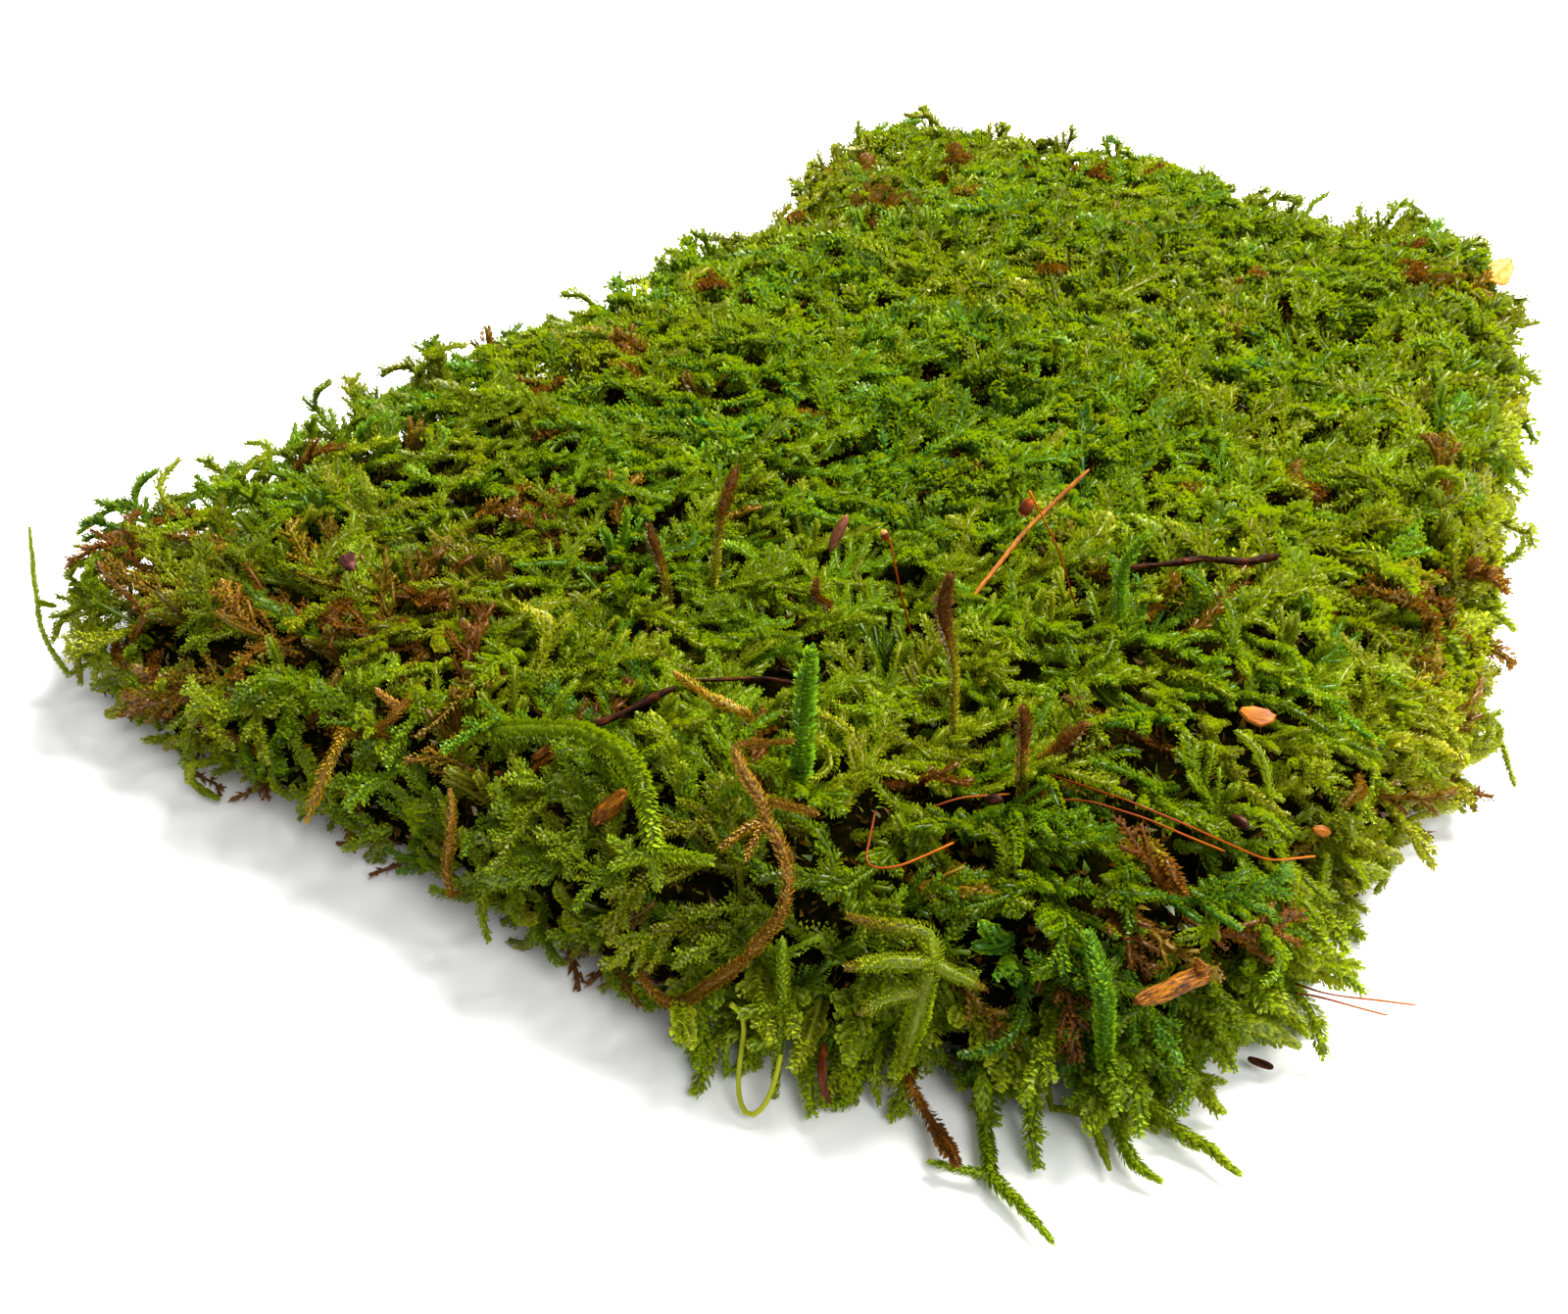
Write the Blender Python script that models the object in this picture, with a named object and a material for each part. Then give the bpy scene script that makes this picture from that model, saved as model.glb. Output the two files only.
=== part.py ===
"""A moss clump: one torn sheet of plait moss, about 13 by 20 cm, lying flat, with its shoots and litter.

+Z is up and the sheet's long side runs along Y. The underside is flat at z = 0, and the origin ends in the
middle of the whole object's footprint. Lengths are written in millimetres and multiplied by MM.
"""

import math

import bmesh
import bpy
from mathutils import Euler, Matrix, Vector, kdtree, noise
from mathutils.bvhtree import BVHTree

MM = 0.001
GAP = 0.3 * MM  # kept between every loose piece and the sheet

# The sheet
THICK = 15.5 * MM  # in the middle, at the shoot tips
RIM = 10.5 * MM  # height of the rounded upper edge
SHOULDER = 17 * MM  # how far in from the edge the rounding reaches
CELLS_ACROSS = 34
CELLS_ALONG = 55
SIDE_RINGS = [(1.2 * MM, 0.62), (1.0 * MM, 0.30), (-1.6 * MM, 0.0)]  # step outward, share of the rim's height

# Its torn outline seen from above, in millimetres, one list a side, counter-clockwise from the front left
FRONT = [(-61, -90), (-55, -94), (-41, -97.5), (-27, -99), (-10, -100.5), (4, -102.5), (14, -102.5)]
FRONT += [(24, -101), (34, -99), (42, -96), (49, -91), (54, -84)]
RIGHT = [(54, -84), (55.5, -77), (56, -70), (60, -63.5), (63, -55), (64, -45), (64.5, -33), (64, -20)]
RIGHT += [(63, -6), (62.5, 10), (62, 30), (60, 47), (57, 64), (51, 82)]
BACK = [(51, 82), (41, 82), (32, 76), (23, 79), (14, 88), (0, 94), (-16, 97), (-34, 100), (-50, 100)]
LEFT = [(-50, 100), (-58, 87), (-55, 70), (-52, 55), (-49, 34), (-52, 12), (-53, -10), (-57, -28), (-62, -46)]
LEFT += [(-61, -62), (-65, -77), (-61, -90)]

# The loose and branching pieces. Each stem or arm is (radius, points along its middle), in millimetres.
# The first stem of a piece is its main one and the others are fused to it. A stem that would touch the
# sheet or the ground is moved clear of it, so the points only need to be near where it lies.
GREEN_SHOOTS = {
    # Hanging over the front edge and lying on the ground, from left to right
    "shoot_left_wisp": [
        (0.4, [(-59.5, -95, 3), (-62.5, -94.5, 4.5), (-64, -94, 7), (-69, -88.5, 14.5)]),
        (0.35, [(-65, -93.5, 8.5), (-61.5, -93, 9.5)]),
    ],
    "shoot_left_loop": [(0.6, [(-36.5, -100.5, 4.5), (-38.5, -100.5, 1.5), (-34.5, -100.5, 1)])],
    "shoot_loop_front": [
        (0.36, [(22, -104, 7), (21, -104.5, 3), (21.5, -105.5, 1), (25.5, -110, 1)]),
        (0.75, [(25.5, -110, 1), (26.5, -107.5, 1), (25.5, -105, 2.5), (25.5, -104, 7), (24.5, -102, 12.5)]),
        (0.6, [(25.5, -104.5, 3.5), (24, -105, 2), (23, -106.5, 1)]),
    ],
    "shoot_front_short": [(0.6, [(32, -102.5, 3.5), (32, -102, 1), (33, -103, 1)])],
    "shoot_front_long": [
        (0.72, [(39.5, -100.5, 4.5), (39.5, -100, 1.5), (40, -101, 1), (42, -105, 1), (47, -107.5, 1)]),
        (0.6, [(41.5, -104.5, 1), (38, -106, 1)]),
        (0.5, [(41.5, -104, 1), (42.5, -103.5, 1.5)]),
    ],
    "shoot_front_forked": [
        (0.72, [(46, -97.5, 4), (46.5, -97.5, 1.5), (49, -100.5, 1)]),
        (0.45, [(47, -98, 1), (43.5, -98, 1)]),
    ],
    "shoot_front_hooked": [(0.72, [(47.5, -96.5, 4), (48, -96.5, 1.5), (50.5, -100, 1), (52.5, -100, 1)])],
    "shoot_front_right_low": [
        (0.72, [(49.5, -94.5, 2), (54, -96.5, 1), (57, -97, 1)]),
        (0.6, [(53, -96.5, 1), (54.5, -95, 1.5), (55, -96, 1.5)]),
    ],
    "shoot_front_right_high": [
        (0.72, [(51, -93.5, 4.5), (53, -92.5, 2), (55, -92.5, 1)]),
        (0.55, [(51.5, -93.5, 4), (53.5, -92, 3.5), (54.5, -92, 3)]),
    ],
    # Standing out of the right-hand edge, from front to back
    "shoot_corner_low": [(0.72, [(54.5, -87.5, 5.5), (57, -85.5, 3), (58.5, -85, 2)])],
    "shoot_corner_high": [(0.72, [(56, -85, 6.5), (57.5, -84.5, 4.5), (59, -85.5, 4)])],
    "shoot_corner_curved": [
        (0.72, [(56.5, -83, 7), (58, -80.5, 6.5), (61, -79.5, 5.5)]),
        (0.55, [(57, -81.5, 6.5), (56, -79, 7.5)]),
    ],
    "shoot_right_lobed": [(0.9, [(59, -70, 7.5), (60, -68.5, 6.5), (61.5, -68, 6)])],
    "shoot_right_branching": [
        (0.65, [(64.5, -54.5, 9), (66.5, -48.5, 6), (67.5, -46.5, 5.5), (69, -42.5, 7)]),
        (0.5, [(69, -45.5, 5.5), (70.5, -47.5, 3.5)]),
        (0.45, [(69, -43, 6), (66, -45.5, 8)]),
    ],
    # Raised above the top, near the front corner
    "shoot_arching_pale": [
        (0.75, [(-5, -95.5, 16), (2.5, -94.5, 18), (7.5, -96, 19), (10, -97.5, 19), (12.5, -100, 18),
                (14, -101.5, 16), (14.5, -102.5, 13.5)]),
        (0.52, [(13.5, -101, 17), (10.5, -102, 16)]),
        (0.58, [(14.5, -102, 15), (11, -103, 14.5)]),
        (0.5, [(14, -101.5, 16), (18, -101, 16.5)]),
    ],
    "shoot_front_frond": [
        (0.75, [(34.5, -98.5, 15), (35, -100.5, 14), (35, -101.5, 12), (34, -102.5, 4.5)]),
        (0.6, [(35, -99, 15), (29, -101, 16)]),
        (0.6, [(35, -100.5, 14), (32.5, -102, 14.5), (30, -103.5, 14)]),
        (0.6, [(35.5, -102, 12.5), (33, -103, 12.5), (31.5, -104, 11)]),
        (0.6, [(35, -100.5, 14), (38.5, -100.5, 13.5)]),
    ],
    "shoot_upright_green": [(0.75, [(19.5, -89, 17), (19, -88, 21), (19.5, -88, 27)])],
    "shoot_stalk_front": [(0.75, [(44, -95, 16), (46, -97, 13), (47, -97, 6)])],
    "shoot_upright_curled": [(0.55, [(35.5, -58.5, 17.5), (34.5, -57.5, 21.5), (36, -56.5, 25)])],
    "shoot_arc_right": [(0.5, [(48, -69, 16), (50.5, -71, 16.5), (52, -74, 14.5)])],
}
WITHERED_SHOOTS = {
    "shoot_withered_tall": [(0.55, [(27.5, -78, 15.5), (26.5, -76, 20.5), (25, -76, 25), (25.5, -76, 28.5)])],
    "shoot_withered_dark": [(0.5, [(-2.5, -72.5, 17), (-4.5, -72, 23)])],
    "shoot_withered_back": [(0.5, [(0, -68.5, 16.5), (-0.5, -66, 22.5), (-0.5, -63, 25.5)])],
    "shoot_withered_stub": [(0.5, [(35, -83.5, 17), (34.5, -83, 23.5)])],
    "shoot_withered_leaning": [(0.62, [(35.5, -80.5, 17), (38, -79, 20.5)])],
    "shoot_withered_curled": [(0.45, [(10.5, -65, 14.5), (9, -66.5, 16.5), (9, -65.5, 17.5)])],
    "shoot_brown_ended": [(0.7, [(45, -84.5, 16), (48.5, -87, 15)])],
    "stem_front_brown": [(0.5, [(34.5, -102, 3.5), (35, -102, 2), (37, -103, 1), (40, -106.5, 3)])],
}
DEAD_SHOOTS = {
    "dead_shoot_branched": [
        (0.55, [(15, -92.5, 20), (19, -96, 19.5), (22.5, -98.5, 18), (24, -100, 17), (24.5, -102, 15),
                (22.5, -104, 11.5), (18, -105.5, 6), (16, -105.5, 5.5), (14, -105, 7)]),
        (0.45, [(16, -93, 20.5), (19.5, -91.5, 21)]),
        (0.42, [(20, -96.5, 19.5), (24, -96, 19.5)]),
        (0.4, [(20.5, -97, 19), (18.5, -100, 17)]),
        (0.4, [(21.5, -98, 18.5), (20.5, -100, 17)]),
    ],
    "dead_shoot_plaited": [(0.5, [(5.5, -84.5, 18), (9.5, -85, 17), (13.5, -86, 17.5)])],
    "dead_shoot_yellow_tip": [(0.6, [(-18.5, -98.5, 13.5), (-17.5, -102, 12), (-19, -104, 7.5)])],
    "dead_shoot_hanging": [(0.45, [(-5.5, -100.5, 13), (-4.5, -102.5, 11), (-5, -103.5, 7), (-4, -104, 5)])],
    "dead_shoot_orange": [
        (0.55, [(-16, -98, 13.5), (-13.5, -96.5, 15.5), (-14, -94, 16.5)]),
        (0.42, [(-13.5, -96, 16), (-17, -95.5, 16)]),
    ],
}
WOOD = {
    "twig_dark_long": [(0.4, [(1.5, -91, 15.5), (5.5, -84, 16.5)])],
    "twig_dark_fine": [(0.22, [(5.5, -82.5, 16), (10.5, -78.5, 15.5), (14, -78, 15.5)])],
    "wood_sliver_front": [
        (0.75, [(48, -96, 12.5), (51.5, -91.5, 12.5)]),
        (0.4, [(50.5, -92.5, 13), (51, -92, 13.5)]),
    ],
    "wood_sliver_left": [(0.8, [(7.5, -100, 15), (8.5, -97, 16)])],
    "wood_sliver_far_left": [(0.55, [(-0.5, -96.5, 15.5), (1, -93, 16)])],
    "twig_back_dark": [
        (0.4, [(33.5, -49, 16.5), (39.5, -45, 17.5), (43, -44.5, 17.5), (45.5, -39.5, 16.5)]),
        (0.3, [(40.5, -44.5, 17.5), (38, -46.5, 17.5)]),
    ],
    "stalk_orange": [(0.3, [(21.5, -58.5, 15), (23.5, -49, 18.5), (27, -42, 22.5)])],
    "needle_dark_corner": [(0.4, [(55.5, -87, 1), (57.5, -87, 1)])],
}
STALKS = {
    "seta_nodding": [(0.12, [(31.5, -58, 16.5), (29, -58.5, 23), (27, -60, 27.5), (26.5, -60, 28)])],
    "seta_upright": [(0.12, [(19.5, -67, 15), (18, -67, 19.5), (17.5, -69, 26)])],
    "seta_long_upper": [
        (0.12, [(36, -81.5, 17), (43, -83.5, 18.5), (47.5, -83, 17.5), (53, -80, 14), (56, -75, 11.5)]),
    ],
    "seta_long_lower": [(0.12, [(37, -84, 16.5), (40, -83, 17), (44, -83, 17), (50, -81, 14.5)])],
    "seta_long_left": [(0.12, [(29.5, -89, 16.5), (31.5, -87, 17), (34.5, -84.5, 16.5)])],
    "seta_curved_red": [(0.14, [(26.5, -91, 17), (28, -96.5, 16), (30, -95, 16), (32.5, -91, 16)])],
    "seta_right_upper": [(0.12, [(57, -82.5, 5.5), (59.5, -84, 7), (65.5, -80, 5)])],
    "seta_right_lower": [(0.12, [(57, -82.5, 4.5), (59, -82, 4.5), (64, -80, 3)])],
}

# The spore capsules at the top of two of the stalks: where each begins and ends.
CAPSULES = {
    "seta_nodding": ((26.5, -60, 28), (25.9, -60.2, 26)),
    "seta_upright": ((17.5, -69, 26), (17, -69.6, 26.8)),
}

# Flat scraps: name, middle, (length, width, thickness) in millimetres, (heading, tilt, roll) in degrees.
PLATES = [
    ("bud_scale_orange", (49, -67, 17), (3.4, 2.1, 0.35), (35, -12, 14)),
    ("bud_scale_small", (56, -73, 12.5), (1.5, 1, 0.3), (20, -10, 30)),
    ("bud_spindle_pink", (8, -58.5, 18.5), (4.4, 1.4, 0.9), (75, 50, 0)),
    ("leaf_scrap_purple", (-32.5, -81.5, 17), (4.6, 1.7, 0.35), (-38, 8, 15)),
    ("leaf_scrap_red", (29, -104.5, 3.5), (4.4, 1.1, 0.35), (-58, -30, 62)),
    ("leaf_fragment_corner", (58, 63, 13.5), (10, 4.2, 0.4), (80, 5, 20)),
    ("seed_dark", (34, -86.5, 17), (1.7, 1, 0.9), (10, 20, 0)),
    ("seed_brown", (50.5, -79, 15.6), (2.2, 1.1, 1), (-30, 10, 0)),
]


def clear_scene():
    for old in list(bpy.data.objects):
        bpy.data.objects.remove(old)


def along(points, share):
    """The point at this share of a smooth curve's length through the points (a Catmull-Rom spline)."""
    spots = [Vector(point) * MM for point in points]
    lengths = [(b - a).length for a, b in zip(spots, spots[1:])]
    left = share * sum(lengths)
    place = 0
    while place < len(lengths) - 1 and left > lengths[place]:
        left -= lengths[place]
        place += 1
    t = min(left / lengths[place], 1.0)
    b, c = spots[place], spots[place + 1]
    a = spots[place - 1] if place else b * 2 - c
    d = spots[place + 2] if place + 2 < len(spots) else c * 2 - b
    return 0.5 * (2 * b + (c - a) * t + (2 * a - 5 * b + 4 * c - d) * t**2 + (3 * b - a - 3 * c + d) * t**3)


def plan_point(s, t):
    """A point of the plan: s runs from the left side to the right, t from the front to the back."""
    front, back = along(FRONT, s), along(BACK, 1 - s)
    left, right = along(LEFT, 1 - t), along(RIGHT, t)
    corners = (1 - s) * (1 - t) * along(FRONT, 0) + s * (1 - t) * along(FRONT, 1)
    corners += s * t * along(BACK, 0) + (1 - s) * t * along(BACK, 1)
    return (1 - t) * front + t * back + (1 - s) * left + s * right - corners


def ragged(place):
    """How far the torn edge is pushed out or in at a point of the outline."""
    return 1.5 * MM * noise.noise(place / (7 * MM)) + 1.0 * MM * noise.noise(place / (3.4 * MM))


def tufts(place):
    """Height of the shoot clusters above or below the mean surface, from broad swells to single tufts."""
    swell = noise.noise(Vector((place.x, place.y, 0.013)) / (34 * MM))
    clump = noise.noise(Vector((place.x, place.y, 0.061)) / (12 * MM))
    near = noise.voronoi(Vector((place.x, place.y, 0.0)) / (8 * MM))[0][0]
    return 2.6 * MM * swell + 1.9 * MM * clump + 2.6 * MM * (0.4 - near)


def top_height(place, inward):
    """The top's height at a point of the plan, rounded down to the rim at the outline."""
    share = min(inward / SHOULDER, 1.0)
    rounding = math.sqrt(1 - (1 - share) ** 2)
    fade = 0.5 + 0.5 * share
    return RIM + (THICK - RIM) * rounding + fade * tufts(place)


def add_mesh(name, bm, material):
    mesh = bpy.data.meshes.new(name)
    bm.to_mesh(mesh)
    bm.free()
    thing = bpy.data.objects.new(name, mesh)
    bpy.context.scene.collection.objects.link(thing)
    mesh.materials.append(material)
    return thing


def plain_material(name, colour, roughness):
    material = bpy.data.materials.new(name)
    material.use_nodes = True
    shader = material.node_tree.nodes["Principled BSDF"]
    shader.inputs["Base Color"].default_value = (*colour, 1)
    shader.inputs["Roughness"].default_value = roughness
    shader.inputs["Metallic"].default_value = 0.0
    return material


def moss_mat(material):
    """The sheet itself: thousands of interwoven shoots, solid out to their tips."""
    bm = bmesh.new()
    bmesh.ops.create_grid(bm, x_segments=CELLS_ACROSS, y_segments=CELLS_ALONG, size=0.5)
    for vertex in bm.verts:
        plan = plan_point(vertex.co.x + 0.5, vertex.co.y + 0.5)
        vertex.co = (plan.x, plan.y, 0)
    inside = [vertex for vertex in bm.verts if not vertex.is_boundary]
    for _ in range(30):
        bmesh.ops.smooth_vert(bm, verts=inside, factor=0.5, use_axis_x=True, use_axis_y=True)
    outline = [vertex.co.copy() for vertex in bm.verts if vertex.is_boundary]
    tree = kdtree.KDTree(len(outline))
    for number, spot in enumerate(outline):
        tree.insert(spot, number)
    tree.balance()
    for vertex in bm.verts:
        vertex.co.z = top_height(vertex.co, tree.find(vertex.co)[2])
    rim = [edge for edge in bm.edges if edge.is_boundary]
    heights = {}
    for outward, share in SIDE_RINGS:
        grown = bmesh.ops.extrude_edge_only(bm, edges=rim)
        lower = [item for item in grown["geom"] if isinstance(item, bmesh.types.BMVert)]
        rim = [item for item in grown["geom"] if isinstance(item, bmesh.types.BMEdge)]
        rim = [edge for edge in rim if edge.is_boundary]
        place_ring(lower, outward, share, heights)
    bmesh.ops.holes_fill(bm, edges=rim)
    bmesh.ops.recalc_face_normals(bm, faces=bm.faces)
    bmesh.ops.triangulate(bm, faces=bm.faces, quad_method="SHORT_EDGE")
    return add_mesh("moss_mat", bm, material)


def place_ring(ring, outward, share, heights):
    """Moves a new ring of the side outwards, and down to a share of the rim's height above it."""
    moves = {}
    for vertex in ring:
        beside = [edge.other_vert(vertex) for edge in vertex.link_edges]
        beside = [other for other in beside if other in ring]
        run = beside[0].co - beside[1].co
        normal = Vector((run.y, -run.x, 0)).normalized()
        if normal.dot(vertex.co) < 0:
            normal.negate()
        above = [edge.other_vert(vertex) for edge in vertex.link_edges]
        above = [other for other in above if other not in ring]
        moves[vertex] = (normal, heights.get(above[0], above[0].co.z))
    for vertex, (normal, rim_height) in moves.items():
        heights[vertex] = rim_height
        push = outward + (0.6 * ragged(vertex.co) if share else 0.0)
        vertex.co += normal * push
        vertex.co.z = rim_height * share


def spaced(points, longest):
    """The points of a centre line with more added, so that no step between two is longer than this."""
    line = [Vector(points[0]) * MM]
    for a, b in zip(points, points[1:]):
        a, b = Vector(a) * MM, Vector(b) * MM
        steps = max(1, round((b - a).length / longest))
        line += [a.lerp(b, step / steps) for step in range(1, steps + 1)]
    return line


def cleared(line, radius, surface):
    """The centre line moved off the sheet and the ground wherever a stem of this radius would touch them."""
    kept = []
    for spot in line:
        for _ in range(3):
            place, normal, _, distance = surface.find_nearest(spot)
            inside = (spot - place).dot(normal) < 0
            away = normal if inside else (spot - place).normalized()
            short = radius + GAP + 0.16 * MM - (-distance if inside else distance)
            if short > 0:
                spot = spot + away * short
        kept.append(Vector((spot.x, spot.y, max(spot.z, radius + 0.03 * MM))))
    return kept


def stem(line, radii, sides):
    """A closed tube round a centre line, its rings turned along it without twisting."""
    bm = bmesh.new()
    rings = []
    side = Vector((0.3, 0.2, 1)).cross(line[1] - line[0]).normalized()
    for number, spot in enumerate(line):
        before, after = line[max(number - 1, 0)], line[min(number + 1, len(line) - 1)]
        run = (after - before).normalized()
        side = (side - run * side.dot(run)).normalized()
        other = run.cross(side)
        turns = [math.tau * corner / sides for corner in range(sides)]
        ring = [spot + (side * math.cos(turn) + other * math.sin(turn)) * radii[number] for turn in turns]
        rings.append([bm.verts.new(place) for place in ring])
    for near, far in zip(rings, rings[1:]):
        for corner in range(sides):
            following = (corner + 1) % sides
            bm.faces.new((near[corner], near[following], far[following], far[corner]))
    bm.faces.new(rings[0][::-1])
    bm.faces.new(rings[-1])
    bmesh.ops.recalc_face_normals(bm, faces=bm.faces)
    bmesh.ops.triangulate(bm, faces=bm.faces)
    return bm


def fuse(main, arm):
    """Joins an arm to its main stem as one closed body."""
    union = main.modifiers.new("union", "BOOLEAN")
    union.operation = "UNION"
    union.solver = "EXACT"
    union.object = arm
    evaluated = main.evaluated_get(bpy.context.evaluated_depsgraph_get())
    joined = bpy.data.meshes.new_from_object(evaluated)
    main.modifiers.clear()
    main.data = joined
    joined.name = main.name
    bpy.data.objects.remove(arm)


def girths(radius, count, shape):
    """The radius at each point: 'tip' tapers to the end, 'club' swells there, and 'even' stays."""
    if shape == "even":
        return [radius] * count
    radii = []
    for number in range(count):
        share = number / (count - 1)
        if shape == "club":
            radii.append(radius * (0.55 + 0.45 * min(share * 1.6, 1) - 0.3 * max(share - 0.85, 0) / 0.15))
        else:
            radii.append(radius * (1 - 0.55 * max(share - 0.7, 0) / 0.3))
    return radii


def growth(name, parts, surface, material, shape, sides, longest):
    """A branching piece: its main stem with every arm fused to it."""
    whole = None
    for radius, points in parts:
        line = cleared(spaced(points, longest), radius * MM, surface)
        if whole:
            line[0] = min(trunk, key=lambda spot: (spot - line[0]).length)
        else:
            trunk = line
        radii = girths(radius * MM, len(line), shape)
        thing = add_mesh(name if not whole else name + "_arm", stem(line, radii, sides), material)
        if whole:
            fuse(whole, thing)
        else:
            whole = thing
    return whole


def capsule(stalk, base, tip, material):
    """The spore capsule, fused to the top of its stalk: a small urn with a lipped mouth."""
    base, tip = Vector(base) * MM, Vector(tip) * MM
    shares = [-0.1, 0.12, 0.45, 0.8, 0.9, 1.0]
    radii = [0.13 * MM, 0.3 * MM, 0.52 * MM, 0.42 * MM, 0.34 * MM, 0.38 * MM]
    fuse(stalk, add_mesh("capsule", stem([base.lerp(tip, share) for share in shares], radii, 7), material))


def plate(name, middle, sizes, turns, material):
    """A flat scrap with a raised middle: a bud scale, a seed or a piece of leaf."""
    bm = bmesh.new()
    length, width, thick = (size * MM for size in sizes)
    corners = []
    for step in range(8):
        turn = math.tau * step / 8
        pinch = 1 - 0.25 * abs(math.cos(turn)) ** 3
        corners.append((math.cos(turn) * length / 2, math.sin(turn) * width / 2 * pinch))
    low = [bm.verts.new((x, y, 0)) for x, y in corners]
    high = [bm.verts.new((x * 0.94, y * 0.94, thick * 0.6)) for x, y in corners]
    top = bm.verts.new((0, 0, thick))
    for step in range(8):
        following = (step + 1) % 8
        bm.faces.new((low[step], low[following], high[following], high[step]))
        bm.faces.new((high[step], high[following], top))
    bm.faces.new(low[::-1])
    bmesh.ops.triangulate(bm, faces=bm.faces)
    heading, tilt, roll = (math.radians(turn) for turn in turns)
    spin = Euler((roll, -tilt, heading)).to_matrix().to_4x4()
    bmesh.ops.transform(bm, matrix=Matrix.Translation(Vector(middle) * MM) @ spin, verts=bm.verts)
    return add_mesh(name, bm, material)


def centre_footprint(things):
    """Moves everything together: the middle of the footprint to the origin, the lowest point to z = 0."""
    spots = [vertex.co for thing in things for vertex in thing.data.vertices]
    low = Vector([min(spot[axis] for spot in spots) for axis in range(3)])
    high = Vector([max(spot[axis] for spot in spots) for axis in range(3)])
    shift = Vector((-(low.x + high.x) / 2, -(low.y + high.y) / 2, -low.z))
    for thing in things:
        thing.data.transform(Matrix.Translation(shift))
    return shift


def build():
    clear_scene()
    green = plain_material("moss_green", (0.13, 0.22, 0.03), 0.7)
    lush = plain_material("shoot_green", (0.20, 0.36, 0.04), 0.6)
    withered = plain_material("shoot_withered", (0.20, 0.11, 0.03), 0.8)
    straw = plain_material("shoot_dead", (0.40, 0.24, 0.06), 0.8)
    bark = plain_material("twig_bark", (0.10, 0.05, 0.03), 0.85)
    stalk_red = plain_material("stalk_red", (0.50, 0.13, 0.02), 0.45)
    husk = plain_material("husk_orange", (0.55, 0.16, 0.03), 0.5)
    moss = moss_mat(green)
    surface = BVHTree.FromObject(moss, bpy.context.evaluated_depsgraph_get())
    for name, parts in GREEN_SHOOTS.items():
        growth(name, parts, surface, lush, "tip", 5, 2.6 * MM)
    for name, parts in WITHERED_SHOOTS.items():
        growth(name, parts, surface, withered, "club", 5, 2.6 * MM)
    for name, parts in DEAD_SHOOTS.items():
        growth(name, parts, surface, straw, "tip", 5, 2.6 * MM)
    for name, parts in WOOD.items():
        growth(name, parts, surface, bark, "even", 5, 2.6 * MM)
    for name, parts in STALKS.items():
        stalk = growth(name, parts, surface, stalk_red, "even", 4, 2.6 * MM)
        if name in CAPSULES:
            capsule(stalk, *CAPSULES[name], stalk_red)
    for name, middle, sizes, turns in PLATES:
        plate(name, middle, sizes, turns, husk)
    centre_footprint(bpy.data.objects)


build()
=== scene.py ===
# %% [markdown]
# # A clump of plait moss
#
# This script dresses the plain CAD solids of a moss clump until they look like the photograph.
# A moss is thousands of small things of a few kinds: a leaf, a shoot that carries leaves, and a
# frond that is one shoot with branches on both sides. It could be sculpted as one lumpy sheet
# with a leafy pattern painted on it, but the picture shows leaves against the light along
# every edge. So the script models one leaf, and then works out where each leaf goes.
#
# Every place and size comes from the frame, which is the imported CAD. The mat's skin says where
# the fronds grow, and each loose shoot's solid says where its centre line runs.

# %% imports and the frame
import heapq
import math

import bmesh
import bpy
import numpy as np
from mathutils import Euler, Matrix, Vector, noise
from mathutils.bvhtree import BVHTree
from mathutils.kdtree import KDTree


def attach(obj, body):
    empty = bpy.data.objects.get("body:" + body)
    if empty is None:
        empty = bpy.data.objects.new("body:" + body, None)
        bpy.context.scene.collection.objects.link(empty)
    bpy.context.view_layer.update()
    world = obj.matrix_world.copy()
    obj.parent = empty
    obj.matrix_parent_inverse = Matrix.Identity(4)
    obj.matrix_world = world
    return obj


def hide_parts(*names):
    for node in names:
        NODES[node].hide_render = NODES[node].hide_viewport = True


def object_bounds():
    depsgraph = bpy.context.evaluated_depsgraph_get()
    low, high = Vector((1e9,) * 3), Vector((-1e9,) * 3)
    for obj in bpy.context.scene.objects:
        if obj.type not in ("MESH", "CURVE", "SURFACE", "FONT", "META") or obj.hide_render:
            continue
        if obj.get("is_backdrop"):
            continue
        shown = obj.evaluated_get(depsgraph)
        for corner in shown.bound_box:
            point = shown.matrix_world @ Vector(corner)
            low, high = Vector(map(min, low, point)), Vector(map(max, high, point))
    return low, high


MM = 0.001
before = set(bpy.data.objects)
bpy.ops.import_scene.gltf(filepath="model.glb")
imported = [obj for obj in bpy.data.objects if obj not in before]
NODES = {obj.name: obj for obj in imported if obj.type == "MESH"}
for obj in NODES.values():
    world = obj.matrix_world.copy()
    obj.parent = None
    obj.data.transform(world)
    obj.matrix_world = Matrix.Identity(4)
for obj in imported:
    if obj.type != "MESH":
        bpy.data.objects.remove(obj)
bounds_at_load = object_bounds()
print("nodes in the frame:", len(NODES))

# %% [markdown]
# ## Reading the frame
#
# The solids are the moss in its plainest form: a mat with a ragged outline, and a tube for each
# loose shoot. They could be measured as they are, but a CAD mesh has each face's corners apart,
# so nothing on it knows its neighbour. A copy is welded before it is measured. The copy is a
# set of arrays in millimetres, and the CAD object itself is never touched.


# %% welded copies of the solids
def welded(node):
    """The corners and triangles of one CAD node, welded, in mm."""
    bm = bmesh.new()
    bm.from_mesh(NODES[node].data)
    bmesh.ops.remove_doubles(bm, verts=bm.verts, dist=2e-6)
    bmesh.ops.triangulate(bm, faces=bm.faces)
    bm.normal_update()
    corners = np.array([v.co[:] for v in bm.verts]) / MM
    triangles = np.array([[v.index for v in f.verts] for f in bm.faces])
    normals = np.array([v.normal[:] for v in bm.verts])
    bm.free()
    return corners, triangles, normals


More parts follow.
